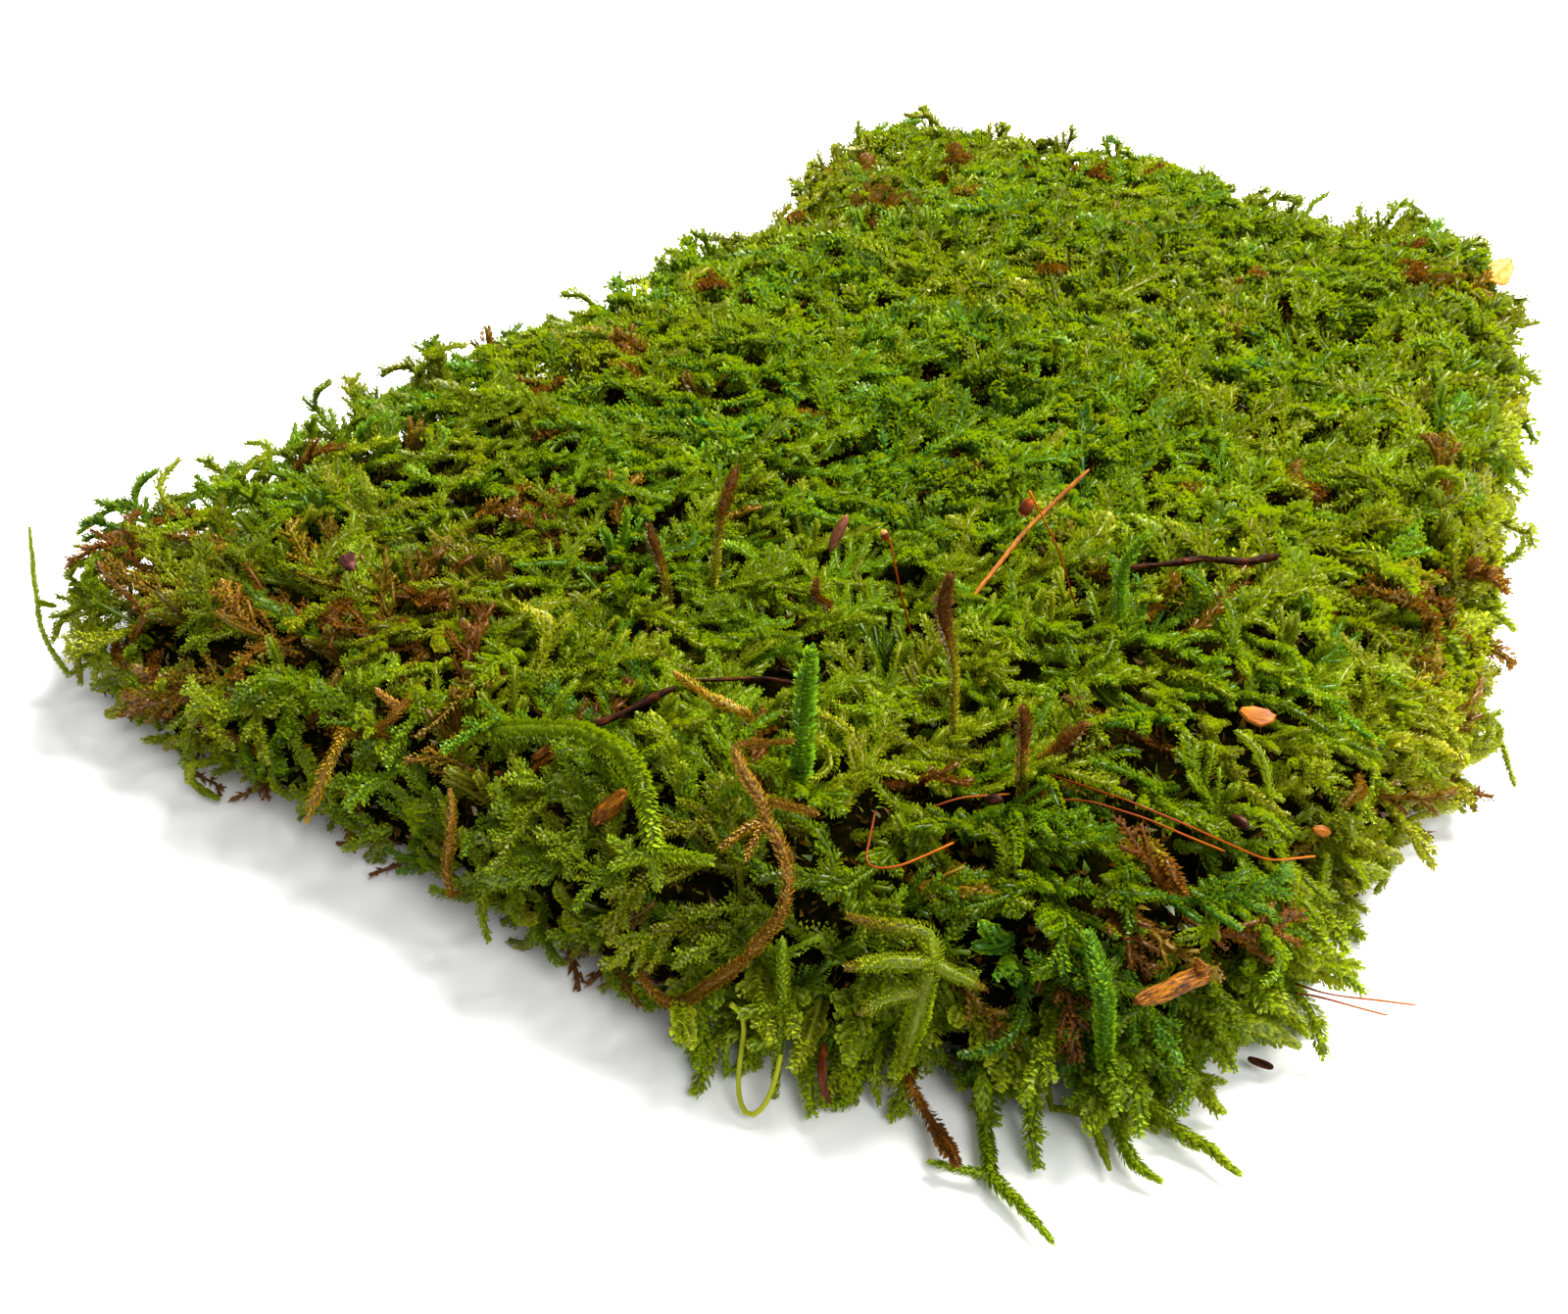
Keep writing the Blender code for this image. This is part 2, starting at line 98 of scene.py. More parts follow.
def unit(a):
    return a / np.maximum(np.linalg.norm(a, axis=-1, keepdims=True), 1e-9)


mat_corners, mat_faces, mat_normals = welded("moss_mat")
mat_tree = BVHTree.FromPolygons([tuple(v) for v in mat_corners], mat_faces.tolist())
mat_low, mat_high = mat_corners.min(0), mat_corners.max(0)
MAT_TOP = float(np.percentile(mat_corners[:, 2], 90))
print("mat", np.round(mat_high - mat_low, 1), "mm, top at", round(MAT_TOP, 1))


# %% points spread over a skin
def spread(corners, faces, normals, count, seed):
    """Points spread evenly over triangles, with the smoothed normal at each."""
    pick = np.random.default_rng(seed)
    a, b, c = (corners[faces[:, i]] for i in range(3))
    area = np.linalg.norm(np.cross(b - a, c - a), axis=1) / 2
    face = pick.choice(len(faces), count, p=area / area.sum())
    r, s = np.sqrt(pick.random(count)), pick.random(count)
    w = np.stack([1 - r, r * (1 - s), r * s], 1)[:, :, None]
    points = (corners[faces[face]] * w).sum(1)
    return points, unit((normals[faces[face]] * w).sum(1)), area.sum()


def thinned(points, apart):
    """Which points stay when no two may be closer than `apart` of their places."""
    cells, keep = {}, []
    size = float(np.max(apart))
    for i, p in enumerate(points):
        key = tuple((p // size).astype(int))
        near = [
            cells[(key[0] + x, key[1] + y, key[2] + z)]
            for x in (-1, 0, 1)
            for y in (-1, 0, 1)
            for z in (-1, 0, 1)
            if (key[0] + x, key[1] + y, key[2] + z) in cells
        ]
        if all(
            np.sum((points[j] - p) ** 2) > apart[i] ** 2 for group in near for j in group
        ):
            cells.setdefault(key, []).append(i)
            keep.append(i)
    return np.array(keep)


# %% [markdown]
# ## Centre lines of the loose shoots
#
# Each loose shoot or stalk is a branching tube in the frame. A curve could be drawn by hand
# inside each one, but it would be left behind when the part changes, so the line is found from
# the tube. Points on its skin are dropped half way to the opposite wall, which puts them on the
# centre line. Then they are joined outward from the root end, and each branch becomes a path
# with a radius at each point.


# %% centre lines
def centre_lines(node, band=0.7):
    """The branches of a tube-like solid, each as (path, radii) in mm, longest first."""
    corners, faces, _ = welded(node)
    tree = BVHTree.FromPolygons([tuple(v) for v in corners], faces.tolist())
    a, b, c = (corners[faces[:, i]] for i in range(3))
    cross = np.cross(b - a, c - a)
    flat = unit(cross)
    area = np.linalg.norm(cross, axis=1).sum() / 2
    sample = np.random.default_rng(3)
    face = sample.choice(
        len(faces), int(np.clip(area * 9, 300, 2600)), p=np.linalg.norm(cross, axis=1) / (area * 2)
    )
    r, s = np.sqrt(sample.random(len(face))), sample.random(len(face))
    w = np.stack([1 - r, r * (1 - s), r * s], 1)[:, :, None]
    points = (corners[faces[face]] * w).sum(1)
    middles, widths = [], []
    for p, n in zip(points, flat[face]):
        start = Vector(p - n * 0.004)
        _, _, _, wall = tree.ray_cast(start, Vector(-n))
        if wall:
            middles.append(p - n * wall / 2)
            widths.append(wall / 2)
    middles, widths = np.array(middles), np.array(widths)
    fits = widths < np.median(widths) * 2.2
    middles, widths = middles[fits], widths[fits]
    keep = thinned(middles, np.full(len(middles), 0.22))
    spots, girth = middles[keep], widths[keep]
    index = KDTree(len(spots))
    for i, p in enumerate(spots):
        index.insert(p, i)
    index.balance()
    near = [[(j, d) for _, j, d in index.find_range(p, 0.95) if j != i] for i, p in enumerate(spots)]

    def walk(start):
        far = {start: 0.0}
        edge = [(0.0, start)]
        while edge:
            d, i = heapq.heappop(edge)
            if d > far[i] + 1e-9:
                continue
            for j, step in near[i]:
                if d + step < far.get(j, 1e9):
                    far[j] = d + step
                    heapq.heappush(edge, (far[j], j))
        return far

    first = walk(0)
    end_a = max(first, key=first.get)
    second = walk(end_a)
    end_b = max(second, key=second.get)
    off = [mat_tree.find_nearest(Vector(spots[e]))[3] for e in (end_a, end_b)]
    root = end_a if off[0] <= off[1] else end_b
    far = walk(root)
    bands = {}
    for i, d in far.items():
        bands.setdefault(int(d / band), set()).add(i)
    hubs, owner, parent = [], {}, {}
    for level in sorted(bands):
        left = set(bands[level])
        while left:
            seed = left.pop()
            group, queue = [seed], [seed]
            while queue:
                for j, d in near[queue.pop()]:
                    if j in left and d < 0.75:
                        left.discard(j)
                        group.append(j)
                        queue.append(j)
            hub = len(hubs)
            hubs.append((spots[group].mean(0), float(np.mean(girth[group])), len(group), level))
            for i in group:
                owner[i] = hub
            back = [(far[j] + d, owner[j]) for i in group for j, d in near[i] if j in owner]
            back = [(d, h) for d, h in back if hubs[h][3] == level - 1]
            parent[hub] = min(back)[1] if back else None
    child = {}
    for hub, p in parent.items():
        child.setdefault(p, []).append(hub)

    def depth(hub):
        return 1 + max((depth(k) for k in child.get(hub, [])), default=0)

    paths, starts = [], [(h, None) for h in child.get(None, []) if hubs[h][3] == 0][:1]
    while starts:
        hub, base = starts.pop(0)
        line = [base] if base is not None else []
        while hub is not None:
            line.append(hub)
            kids = sorted(child.get(hub, []), key=depth, reverse=True)
            starts += [(k, hub) for k in kids[1:] if depth(k) > 1]
            hub = kids[0] if kids else None
        if len(line) > 2:
            path = np.array([hubs[h][0] for h in line])
            radii = np.array([hubs[h][1] for h in line])
            for _ in range(2):
                path[1:-1] = path[1:-1] / 2 + (path[:-2] + path[2:]) / 4
                radii[1:-1] = radii[1:-1] / 2 + (radii[:-2] + radii[2:]) / 4
            ahead = unit(path[-1:] - path[-3:-2])[0]
            path = np.vstack([path, path[-1] + ahead * band * 0.5])
            radii = np.append(radii, radii[-1] * 0.8)
            paths.append((path, radii))
    paths.sort(key=lambda pair: -len(pair[0]))
    return paths


LINES = {
    name: centre_lines(name)
    for name in sorted(NODES)
    if name.startswith(("shoot", "dead", "stem", "seta", "twig", "stalk"))
}
for name in LINES:
    longest = [round(float(np.linalg.norm(np.diff(q[0], axis=0), axis=1).sum())) for q in LINES[name]]
    print(name, "branches of", longest, "mm, radius", round(float(np.median(LINES[name][0][1])), 2))


# %% [markdown]
# ## One leaf
#
# A leaf of this moss is a hollow pointed scale, under 2 mm long, that hugs its stem. It could
# be a bent grid with a midrib, but there are more than half a million of them, so each template
# has as few triangles as its distance from the eye allows. The fine one is a fan of four, with
# a hump and a curled tip, and goes on the loose shoots. The plain one is a single triangle, for
# the litter and the underside. The scale is a single triangle with its wide end outward, which
# closes the gaps to its neighbours better than a point does, and goes on the mat.


# %% leaf templates
def select_vertices(thing, test):
    """Selects the vertices that pass a test, from object mode."""
    for v in thing.data.vertices:
        v.select = bool(test(v.co))


def leaf_template(name, half_width, hump, curl, fine, blunt=False):
    """A leaf one unit long, with its tip along +Y and its outer face up. A blunt one is
    widest at its far end."""
    bpy.ops.object.select_all(action="DESELECT")
    bpy.ops.mesh.primitive_circle_add(
        vertices=4 if fine else 3, radius=0.5, fill_type="TRIFAN" if fine else "NGON"
    )
    leaf = bpy.context.active_object
    leaf.name = name
    if blunt:
        bpy.ops.object.mode_set(mode="EDIT")
        bpy.ops.transform.rotate(value=math.pi, orient_axis="Z", center_override=(0, 0, 0))
        bpy.ops.object.mode_set(mode="OBJECT")
    low = min(v.co.y for v in leaf.data.vertices)
    high = max(v.co.y for v in leaf.data.vertices)
    wide = max(v.co.x for v in leaf.data.vertices)
    bpy.ops.object.mode_set(mode="EDIT")
    bpy.ops.mesh.select_all(action="SELECT")
    bpy.ops.transform.translate(value=(0, -low, 0))
    bpy.ops.transform.resize(
        value=(half_width / wide, 1 / (high - low), 1), center_override=(0, 0, 0)
    )
    bpy.ops.mesh.select_all(action="DESELECT")
    bpy.ops.object.mode_set(mode="OBJECT")
    if fine:
        select_vertices(leaf, lambda at: 0.1 < at.y < 0.9 and abs(at.x) < 0.01)
        bpy.ops.object.mode_set(mode="EDIT")
        bpy.ops.transform.translate(value=(0, 0.05, hump))
        bpy.ops.mesh.select_all(action="DESELECT")
        bpy.ops.object.mode_set(mode="OBJECT")
    select_vertices(leaf, lambda at: at.y > 0.9)
    bpy.ops.object.mode_set(mode="EDIT")
    bpy.ops.transform.translate(value=(0, 0, curl))
    bpy.ops.object.mode_set(mode="OBJECT")
    points = np.array([v.co[:] for v in leaf.data.vertices])
    faces = np.array([p.vertices[:] for p in leaf.data.polygons])
    a, b, c = (points[faces[:, i]] for i in range(3))
    under = np.cross(b - a, c - a)[:, 2] < 0
    faces[under] = faces[under][:, ::-1]
    bpy.data.objects.remove(leaf)
    return points, faces


FINE_LEAF = leaf_template("leaf_fine", 0.31, 0.12, 0.14, True)
PLAIN_LEAF = leaf_template("leaf_plain", 0.36, 0.0, 0.1, False)
SCALE_LEAF = leaf_template("leaf_scale", 0.33, 0.0, 0.1, False, blunt=True)
print("leaf triangles:", len(FINE_LEAF[1]), len(PLAIN_LEAF[1]), len(SCALE_LEAF[1]))


# %% [markdown]
# ## Shoots, as stems with leaves
#
# A shoot is a stem wrapped in a spiral of leaves that overlap, so it looks like a plaited rope.
# By hand it could be an array of leaves along a curve, but a thousand live modifiers are slow.
# So a growth collects the ropes and leaves of one piece as arrays, and makes one mesh of them at
# the end. The colour of a leaf is two numbers on a UV map: the tint runs from deep green to
# brown, and the light runs from its dark base to its light tip. The dark base is painted shade,
# for the part of the leaf that lies under the leaves around it.
#
# New shoots only grow where there is room. The first helper counts the length of shoot in each
# small cube of space. The second keeps the shoots of the mat off the loose pieces on top.


# %% how full each place is
class Cover:
    """The length of shoot that already lies in each small cube of space, in mm."""

    def __init__(self, side=3.0):
        self.side, self.cubes = side, {}

    def add(self, path, length):
        for key in map(tuple, np.floor(path / self.side).astype(int)):
            self.cubes[key] = self.cubes.get(key, 0.0) + length / len(path)

    def over(self, path):
        keys = map(tuple, np.floor(path / self.side).astype(int))
        return float(np.mean([self.cubes.get(key, 0.0) for key in keys]))


COVER = Cover()

# %% keeping off the loose pieces
LYING_ON_TOP = (
    "shoot_arching_pale",
    "shoot_front_frond",
    "shoot_upright_green",
    "shoot_stalk_front",
    "shoot_upright_curled",
    "shoot_arc_right",
    "shoot_withered_tall",
    "shoot_withered_dark",
    "shoot_withered_back",
    "shoot_withered_stub",
    "shoot_withered_leaning",
    "shoot_withered_curled",
    "shoot_brown_ended",
)


def clearing():
    """Points of the loose pieces, and points over them, that the mat's shoots keep off."""
    marks = []
    for name in sorted(NODES):
        if name == "moss_mat" or name.startswith("shoot") and name not in LYING_ON_TOP:
            continue
        if name in LINES:
            line = np.vstack([path[2:] for path, _ in LINES[name]])
        else:
            line = welded(name)[0][::3]
        for over in (0.0, 1.0, 2.0):
            marks.append(line + (over * 0.3, -over * 0.5, over))
    marks = np.vstack(marks)
    tree = KDTree(len(marks))
    for i, p in enumerate(marks):
        tree.insert(p, i)
    tree.balance()
    return tree


CLEAR = clearing()
KEEP_OFF = 1.0


def free_part(path):
    """The part of a path before it comes too near to a loose piece."""
    for i, p in enumerate(path):
        if CLEAR.find(p)[2] < KEEP_OFF:
            return path[:i]
    return path


# %% the growth of one piece
JITTER = 0.002


class Growth:
    """The ropes and leaves of one piece, in mm, until it is made a mesh."""

    def __init__(self, name, leaf, per_mm, stem_step=1.0, sides=4, lowest=-1.1):
        self.name = name
        self.leaf = leaf
        self.per_mm = per_mm
        self.stem_step = stem_step
        self.sides = sides
        self.lowest = lowest
        self.seed = np.random.default_rng(sum(map(ord, name)))
        self.leaves, self.points, self.faces, self.tints = [], [], [], []
        self.count = 0

    def shoot(self, path, up, size, tint, light=1.0, spray=38.0, flat=0.8, girth=0.36, more=1.0,
              swell=None, brown=0.0, brown_from=0.5):
        """One leafy shoot along a path in mm: a rope of that girth under a coat of leaves."""
        path = np.asarray(path, float)
        steps = np.diff(path, axis=0)
        lengths = np.maximum(np.linalg.norm(steps, axis=1), 1e-6)
        reach = np.concatenate([[0], np.cumsum(lengths)])
        total = reach[-1]
        COVER.add(path, total)
        n = max(4, int(total * self.per_mm * more))
        turn = 2.4 * np.arange(n) + self.seed.normal(0, 0.25, n)
        outer = np.sin(turn) > self.lowest
        at = ((np.arange(n) + 0.5) / n * total)[outer]
        turn = turn[outer]
        n = len(turn)
        cell = np.clip(np.searchsorted(reach, at, side="right") - 1, 0, len(steps) - 1)
        part = ((at - reach[cell]) / lengths[cell])[:, None]
        where = path[cell] + part * steps[cell]
        ahead = unit(steps)
        bend = np.vstack([ahead[:1], unit(ahead[:-1] + ahead[1:]), ahead[-1:]])
        along = unit(bend[cell] * (1 - part) + bend[cell + 1] * part)
        up = np.broadcast_to(up, (n, 3)) if np.ndim(up) == 1 else up[cell]
        side = unit(np.cross(along, up))
        over = np.cross(side, along)
        out = unit(side * np.cos(turn)[:, None] + over * (flat * np.sin(turn))[:, None])
        share = at / total
        closing = np.clip((share - 0.82) / 0.18, 0, 1)
        angle = np.radians(spray) * (1 - 0.45 * closing) * self.seed.uniform(0.75, 1.25, n)
        long = size * (1 - 0.2 * closing) * self.seed.uniform(0.85, 1.2, n)
        tip = np.cos(angle)[:, None] * along + np.sin(angle)[:, None] * out
        face = np.cos(angle)[:, None] * out - np.sin(angle)[:, None] * along
        wide = np.cross(along, out)
        thick = np.full(n, girth) if swell is None else np.interp(at, reach, swell)
        withered = np.clip((share - brown_from) / 0.2, 0, 1)
        tints = tint + self.seed.normal(0, 0.035, n) + brown * withered
        lights = light * self.seed.uniform(0.72, 1.12, n) * (1 - brown * withered)
        self.leaves.append(
            np.hstack(
                [
                    where + out * (thick * (0.8 - 0.35 * closing))[:, None] - along * long[:, None] * 0.2,
                    unit(wide) * long[:, None],
                    tip * long[:, None],
                    face * long[:, None],
                    tints[:, None],
                    lights[:, None],
                ]
            )
        )
        if swell is not None:
            swell = swell * 0.76
        # Painted shade: the rope takes 0.36 of its leaves' light, for the shade that the leaves cast on
        # it.
        self.stem(path, girth, tint, light * 0.36, sides=self.sides, tip=0.75, swell=swell,
                  brown=brown, brown_from=brown_from)

    def stem(self, path, radius, tint, light, sides=3, tip=0.3, swell=None, fade=None, brown=0.0,
             brown_from=0.5):
        """A closed tube along a path. swell gives its own radius at each point of the path."""
        path = np.asarray(path, float)
        steps = np.diff(path, axis=0)
        lengths = np.linalg.norm(steps, axis=1)
        reach = np.concatenate([[0], np.cumsum(lengths)])
        rings = max(2, int(round(reach[-1] / self.stem_step)) + 1)
        at = np.linspace(0, reach[-1], rings)
        line = np.stack([np.interp(at, reach, path[:, i]) for i in range(3)], 1)
        along = unit(np.gradient(line, axis=0))
        side = unit(np.cross(along, np.array([0.31, 0.17, 0.94])))
        over = np.cross(side, along)
        angles = np.arange(sides) * 2 * np.pi / sides
        radii = radius * np.linspace(1, tip, rings)
        if swell is not None:
            radii = np.interp(at, reach, swell)
        ring = (
            side[:, None] * np.cos(angles)[None, :, None]
            + over[:, None] * np.sin(angles)[None, :, None]
        )
        points = (line[:, None] + ring * radii[:, None, None]).reshape(-1, 3)
        start = self.count
        k = np.arange(rings - 1)[:, None] * sides
        j = np.arange(sides)[None]
        a, b = start + k + j, start + k + (j + 1) % sides
        quads = np.stack([a, b, b + sides, a + sides], -1).reshape(-1, 4)
        self.faces.append(quads[:, [0, 2, 1]])
        self.faces.append(quads[:, [0, 3, 2]])
        last = start + (rings - 1) * sides
        for i in range(1, sides - 1):
            self.faces.append(np.array([[start, start + i, start + i + 1]]))
            self.faces.append(np.array([[last, last + i + 1, last + i]]))
        self.points.append(points)
        lights = np.full(len(points), light)
        if fade is not None:
            lights = np.repeat(np.linspace(light, fade, rings), sides)
        share = np.repeat(np.linspace(0, 1, rings), sides)
        withered = brown * np.clip((share - brown_from) / 0.2, 0, 1)
        self.tints.append(np.stack([tint + withered, lights * (1 - withered)], 1))
        self.count += len(points)

    def piece(self, material):
        """The collected shoots as one mesh object with its tints as a map."""
        shape, leaf_faces = self.leaf
        if self.leaves:
            leaves = np.vstack(self.leaves)
            place = leaves[:, None, 0:3]
            corners = (
                place
                + shape[None, :, 0:1] * leaves[:, None, 3:6]
                + shape[None, :, 1:2] * leaves[:, None, 6:9]
                + shape[None, :, 2:3] * leaves[:, None, 9:12]
            )
            blunt = np.sum(shape[:, 1] > 0.9) > 1
            # Painted shade: each leaf is darkest at its base, which lies under its neighbours, and
            # lightest at its tip.
            light_and_shade = (0.04 if blunt else 0.12) + (0.66 if blunt else 0.88) * shape[:, 1] ** 1.3
            light = leaves[:, 13:14] * light_and_shade[None]
            tint = np.broadcast_to(leaves[:, 12:13], light.shape)
            first = self.count + np.arange(len(leaves))[:, None, None] * len(shape)
            self.faces.append((leaf_faces[None] + first).reshape(-1, 3))
            self.points.append(corners.reshape(-1, 3))
            self.tints.append(np.stack([tint, light], -1).reshape(-1, 2))
        points = np.vstack(self.points) * MM
        faces = np.vstack(self.faces)
        tints = np.clip(np.vstack(self.tints), 0.004, 0.996)
        mesh = bpy.data.meshes.new(self.name)
        mesh.vertices.add(len(points))
        mesh.vertices.foreach_set("co", points.ravel())
        mesh.loops.add(faces.size)
        mesh.loops.foreach_set("vertex_index", faces.ravel().astype(np.int32))
        mesh.polygons.add(len(faces))
        mesh.polygons.foreach_set("loop_start", np.arange(0, faces.size, 3, dtype=np.int32))
        mesh.update(calc_edges=True)
        low, high = tints.min(0), tints.max(0)
        # A leaf is one tint all over, so on the bake's map it would be a line, which no pixel
        # falls on. A small jitter gives each face some width there.
        spread_out = 0.01 + 0.98 * (tints - low) / np.maximum(high - low, 1e-4)
        spread_out += np.random.default_rng(2).uniform(-JITTER, JITTER, spread_out.shape)
        for layer, values in (("OFBake", spread_out), ("moss_tint", tints)):
            uv = mesh.uv_layers.new(name=layer)
            uv.data.foreach_set("uv", values[faces.ravel()].ravel())
        mesh.materials.append(material)
        made = bpy.data.objects.new(self.name, mesh)
        bpy.context.scene.collection.objects.link(made)
        print(self.name, len(faces), "triangles, with", sum(map(len, self.leaves)), "leaves")
        return made


# %% [markdown]
# ## Materials
#
# A moss leaf is one cell thick. It is glossy when damp, and light shines through it, so it
# glows yellow-green at the edges of the clump. The colour could be a texture image, but here it
# is a sum of nodes that reads the two numbers of each leaf. The node graphs are written as
# sums: a small class wraps a socket, so that `a * b + 0.2` adds the Math nodes. Colours go
# through a Mix node, and every node comes from the one method of the graph.


# %% a small class for shader sums
class Socket:
    """One output of a node. A sum on it adds a Math node."""

    def __init__(self, graph, out):
        self.graph = graph
        self.out = out

    def maths(self, operation, other, swap=False):
        first, second = (other, self) if swap else (self, other)
        return self.graph.node("ShaderNodeMath", {"operation": operation}, {0: first, 1: second})

    def __add__(self, other):
        return self.maths("ADD", other)

    __radd__ = __add__

    def __mul__(self, other):
        return self.maths("MULTIPLY", other)

    __rmul__ = __mul__

    def __sub__(self, other):
        return self.maths("SUBTRACT", other)

    def __rsub__(self, other):
        return self.maths("SUBTRACT", other, swap=True)

    def __pow__(self, other):
        return self.maths("POWER", other)

    def __rpow__(self, other):
        return self.maths("POWER", other, swap=True)


# %% the graph of one material
class Graph:
    """One material, and the method that adds its nodes."""

    def __init__(self, name, roughness=0.5, specular=0.4):
        self.material = bpy.data.materials.new(name)
        self.material.use_nodes = True
        self.tree = self.material.node_tree
        self.shader = self.tree.nodes["Principled BSDF"]
        self.shader.inputs["Roughness"].default_value = roughness
        self.shader.inputs["Specular IOR Level"].default_value = specular

    def feed(self, slot, value):
        """Links a Socket to a slot, or sets a plain value there."""
        if isinstance(value, Socket):
            self.tree.links.new(value.out, slot)
        elif slot.type == "RGBA":
            slot.default_value = (*value, 1)
        else:
            slot.default_value = value

    def node(self, kind, settings=None, sockets=None, output=0):
        """A new node: its own settings first, then the values or links of its sockets."""
        made = self.tree.nodes.new(kind)
        for key, value in (settings or {}).items():
            if key == "stops":
                self.set_stops(made.color_ramp, value)
            else:
                setattr(made, key, value)
        for key, value in (sockets or {}).items():
            self.feed(made.inputs[key], value)
        return Socket(self, made.outputs[output])

    def set_stops(self, band, stops):
        """The colours of a ramp, each at its place from 0 to 1."""
        while len(band.elements) < len(stops):
            band.elements.new(0.5)
        for stop, (place, colour) in zip(band.elements, stops):
            stop.position = place
            stop.color = (*colour, 1)

    def set(self, **inputs):
        """Feeds the main shader's own sockets."""
        for key, value in inputs.items():
            self.feed(self.shader.inputs[key.replace("_", " ")], value)

    def mix(self, share, first, second):
        settings = {"data_type": "RGBA"}
        return self.node("ShaderNodeMix", settings, {0: share, 6: first, 7: second}, 2)

    def ramp(self, value, stops):
        return self.node("ShaderNodeValToRGB", {"stops": stops}, {0: value})

    def noise(self, scale, detail=3.0, rough=0.6, vector=None):
        where = vector or self.node("ShaderNodeTexCoord", output="Object")
        sockets = {"Scale": scale, "Detail": detail, "Roughness": rough, "Vector": where}
        return self.node("ShaderNodeTexNoise", {}, sockets)

    def mark(self, attribute):
        """A vector that the mesh carries at each corner."""
        return self.node("ShaderNodeAttribute", {"attribute_name": attribute}, {}, "Vector")

    def map(self, name):
        """The two numbers of a UV map, each as a Socket."""
        where = self.node("ShaderNodeUVMap", {"uv_map": name})
        split = self.node("ShaderNodeSeparateXYZ", {}, {0: where}).out.node
        return Socket(self, split.outputs[0]), Socket(self, split.outputs[1])

    def bump(self, height, strength=0.4, distance=0.2 * MM):
        sockets = {"Strength": strength, "Distance": distance, "Height": height}
        self.set(Normal=self.node("ShaderNodeBump", {}, sockets))

    def glow_through(self, share, colour):
        """Lets some light through the sheet, as a thin leaf does."""
        surface = Socket(self, self.shader.outputs[0])
        through = self.node("ShaderNodeBsdfTranslucent", {}, {"Color": colour})
        both = self.node("ShaderNodeMixShader", {}, {0: share, 1: surface, 2: through})
        self.feed(self.tree.nodes["Material Output"].inputs["Surface"], both)


def rgb(red, green, blue):
    """A colour as the eye sees it, 0 to 255, turned into the renderer's linear values."""
    return tuple(
        (c / 255 / 12.92) if c <= 10 else ((c / 255 + 0.055) / 1.055) ** 2.4
        for c in (red, green, blue)
    )


# %% the moss leaf material
def moss_material(name, share, glow):
    """Fresh or dry leaves: the ramps run by tint, and the light mixes the dark one into the
    pale one. The dark ramp is the painted shade at a leaf's base."""
    g = Graph(name, roughness=0.36, specular=0.24)
    tint, light_and_shade = g.map("moss_tint")
    # The dark ramp is the colour of a leaf's base in painted shade; the pale ramp is its lit tip.
    dark = g.ramp(
        tint,
        [
            (0.0, rgb(4, 50, 14)),
            (0.25, rgb(26, 56, 0)),
            (0.5, rgb(64, 74, 0)),
            (0.7, rgb(62, 52, 0)),
            (0.85, rgb(62, 36, 2)),
            (1.0, rgb(28, 15, 2)),
        ],
    )
    pale = g.ramp(
        tint,
        [
            (0.0, rgb(112, 216, 70)),
            (0.25, rgb(168, 222, 30)),
            (0.5, rgb(228, 234, 44)),
            (0.7, rgb(216, 192, 36)),
            (0.85, rgb(208, 134, 40)),
            (1.0, rgb(138, 80, 24)),
        ],
    )
    g.set(Base_Color=g.mix(light_and_shade ** 1.45, dark, pale))
    g.glow_through(share, glow)
    return g.material


MOSS = moss_material("moss_green", 0.25, rgb(170, 196, 0))
DRY = moss_material("moss_dry", 0.12, rgb(190, 120, 20))
print("leaf materials:", MOSS.name, DRY.name)


# %% [markdown]
# ## The dark inside of the mat
#
# Between the fronds one looks into a dark tangle of old stems. It could be left empty, but then
# the white floor would show through each gap. So the inside is a copy of the mat's solid, drawn
# in by most of the depth of the fronds and with a crumbled skin, in a matt near-black. The
# near-black is painted shade for the deep shade between the fronds, over the brown of old stems.

# %% the core
FROND_DEPTH = 4.5


def core_piece():
    corners, faces, normals = mat_corners.copy(), mat_faces, mat_normals
    middle = (mat_low + mat_high) / 2
    out = unit((corners - middle)[:, :2])
    share = np.clip(corners[:, 2] / 6.0, 0, 1)
    corners[:, :2] -= out * (FROND_DEPTH * 0.8)
    corners[:, 2] = 0.3 + np.maximum(corners[:, 2] - 0.3, 0) * 0.7
    for i, p in enumerate(corners):
        wobble = noise.noise(Vector(p) * 0.22) + 0.5 * noise.noise(Vector(p) * 0.6)
        corners[i, 2] += 1.2 * wobble * share[i]
    mesh = bpy.data.meshes.new("moss_core")
    mesh.from_pydata([tuple(p * MM) for p in corners], [], faces.tolist())
    mesh.update()
    made = bpy.data.objects.new("moss_core", mesh)
    bpy.context.scene.collection.objects.link(made)
    g = Graph("moss_core_stems_and_shade", roughness=1.0, specular=0.0)
    speckle = g.noise(900, 4)
    patch = g.noise(220, 3)
    # The near-black stops are painted shade for the shade deep in the mat; the brown and olive ones are
    # old stems.
    tone = g.ramp(
        speckle,
        [
            (0.3, rgb(3, 4, 0)),
            (0.5, rgb(16, 17, 1)),
            (0.62, rgb(38, 24, 3)),
            (0.75, rgb(48, 54, 4)),
        ],
    )
    g.set(Base_Color=g.mix(patch, tone, rgb(8, 9, 1)))
    g.bump(speckle, 0.8, 0.6 * MM)
    mesh.materials.append(g.material)
    return made


core = core_piece()


# %% [markdown]
# Old leaves cling to the inside and catch a little light, so that the gaps don't look like
# holes. They lie every way, so they need no stems: each is a plain leaf at a random turn on the
# skin of the dark inside. They are dry, so they take the dry material.


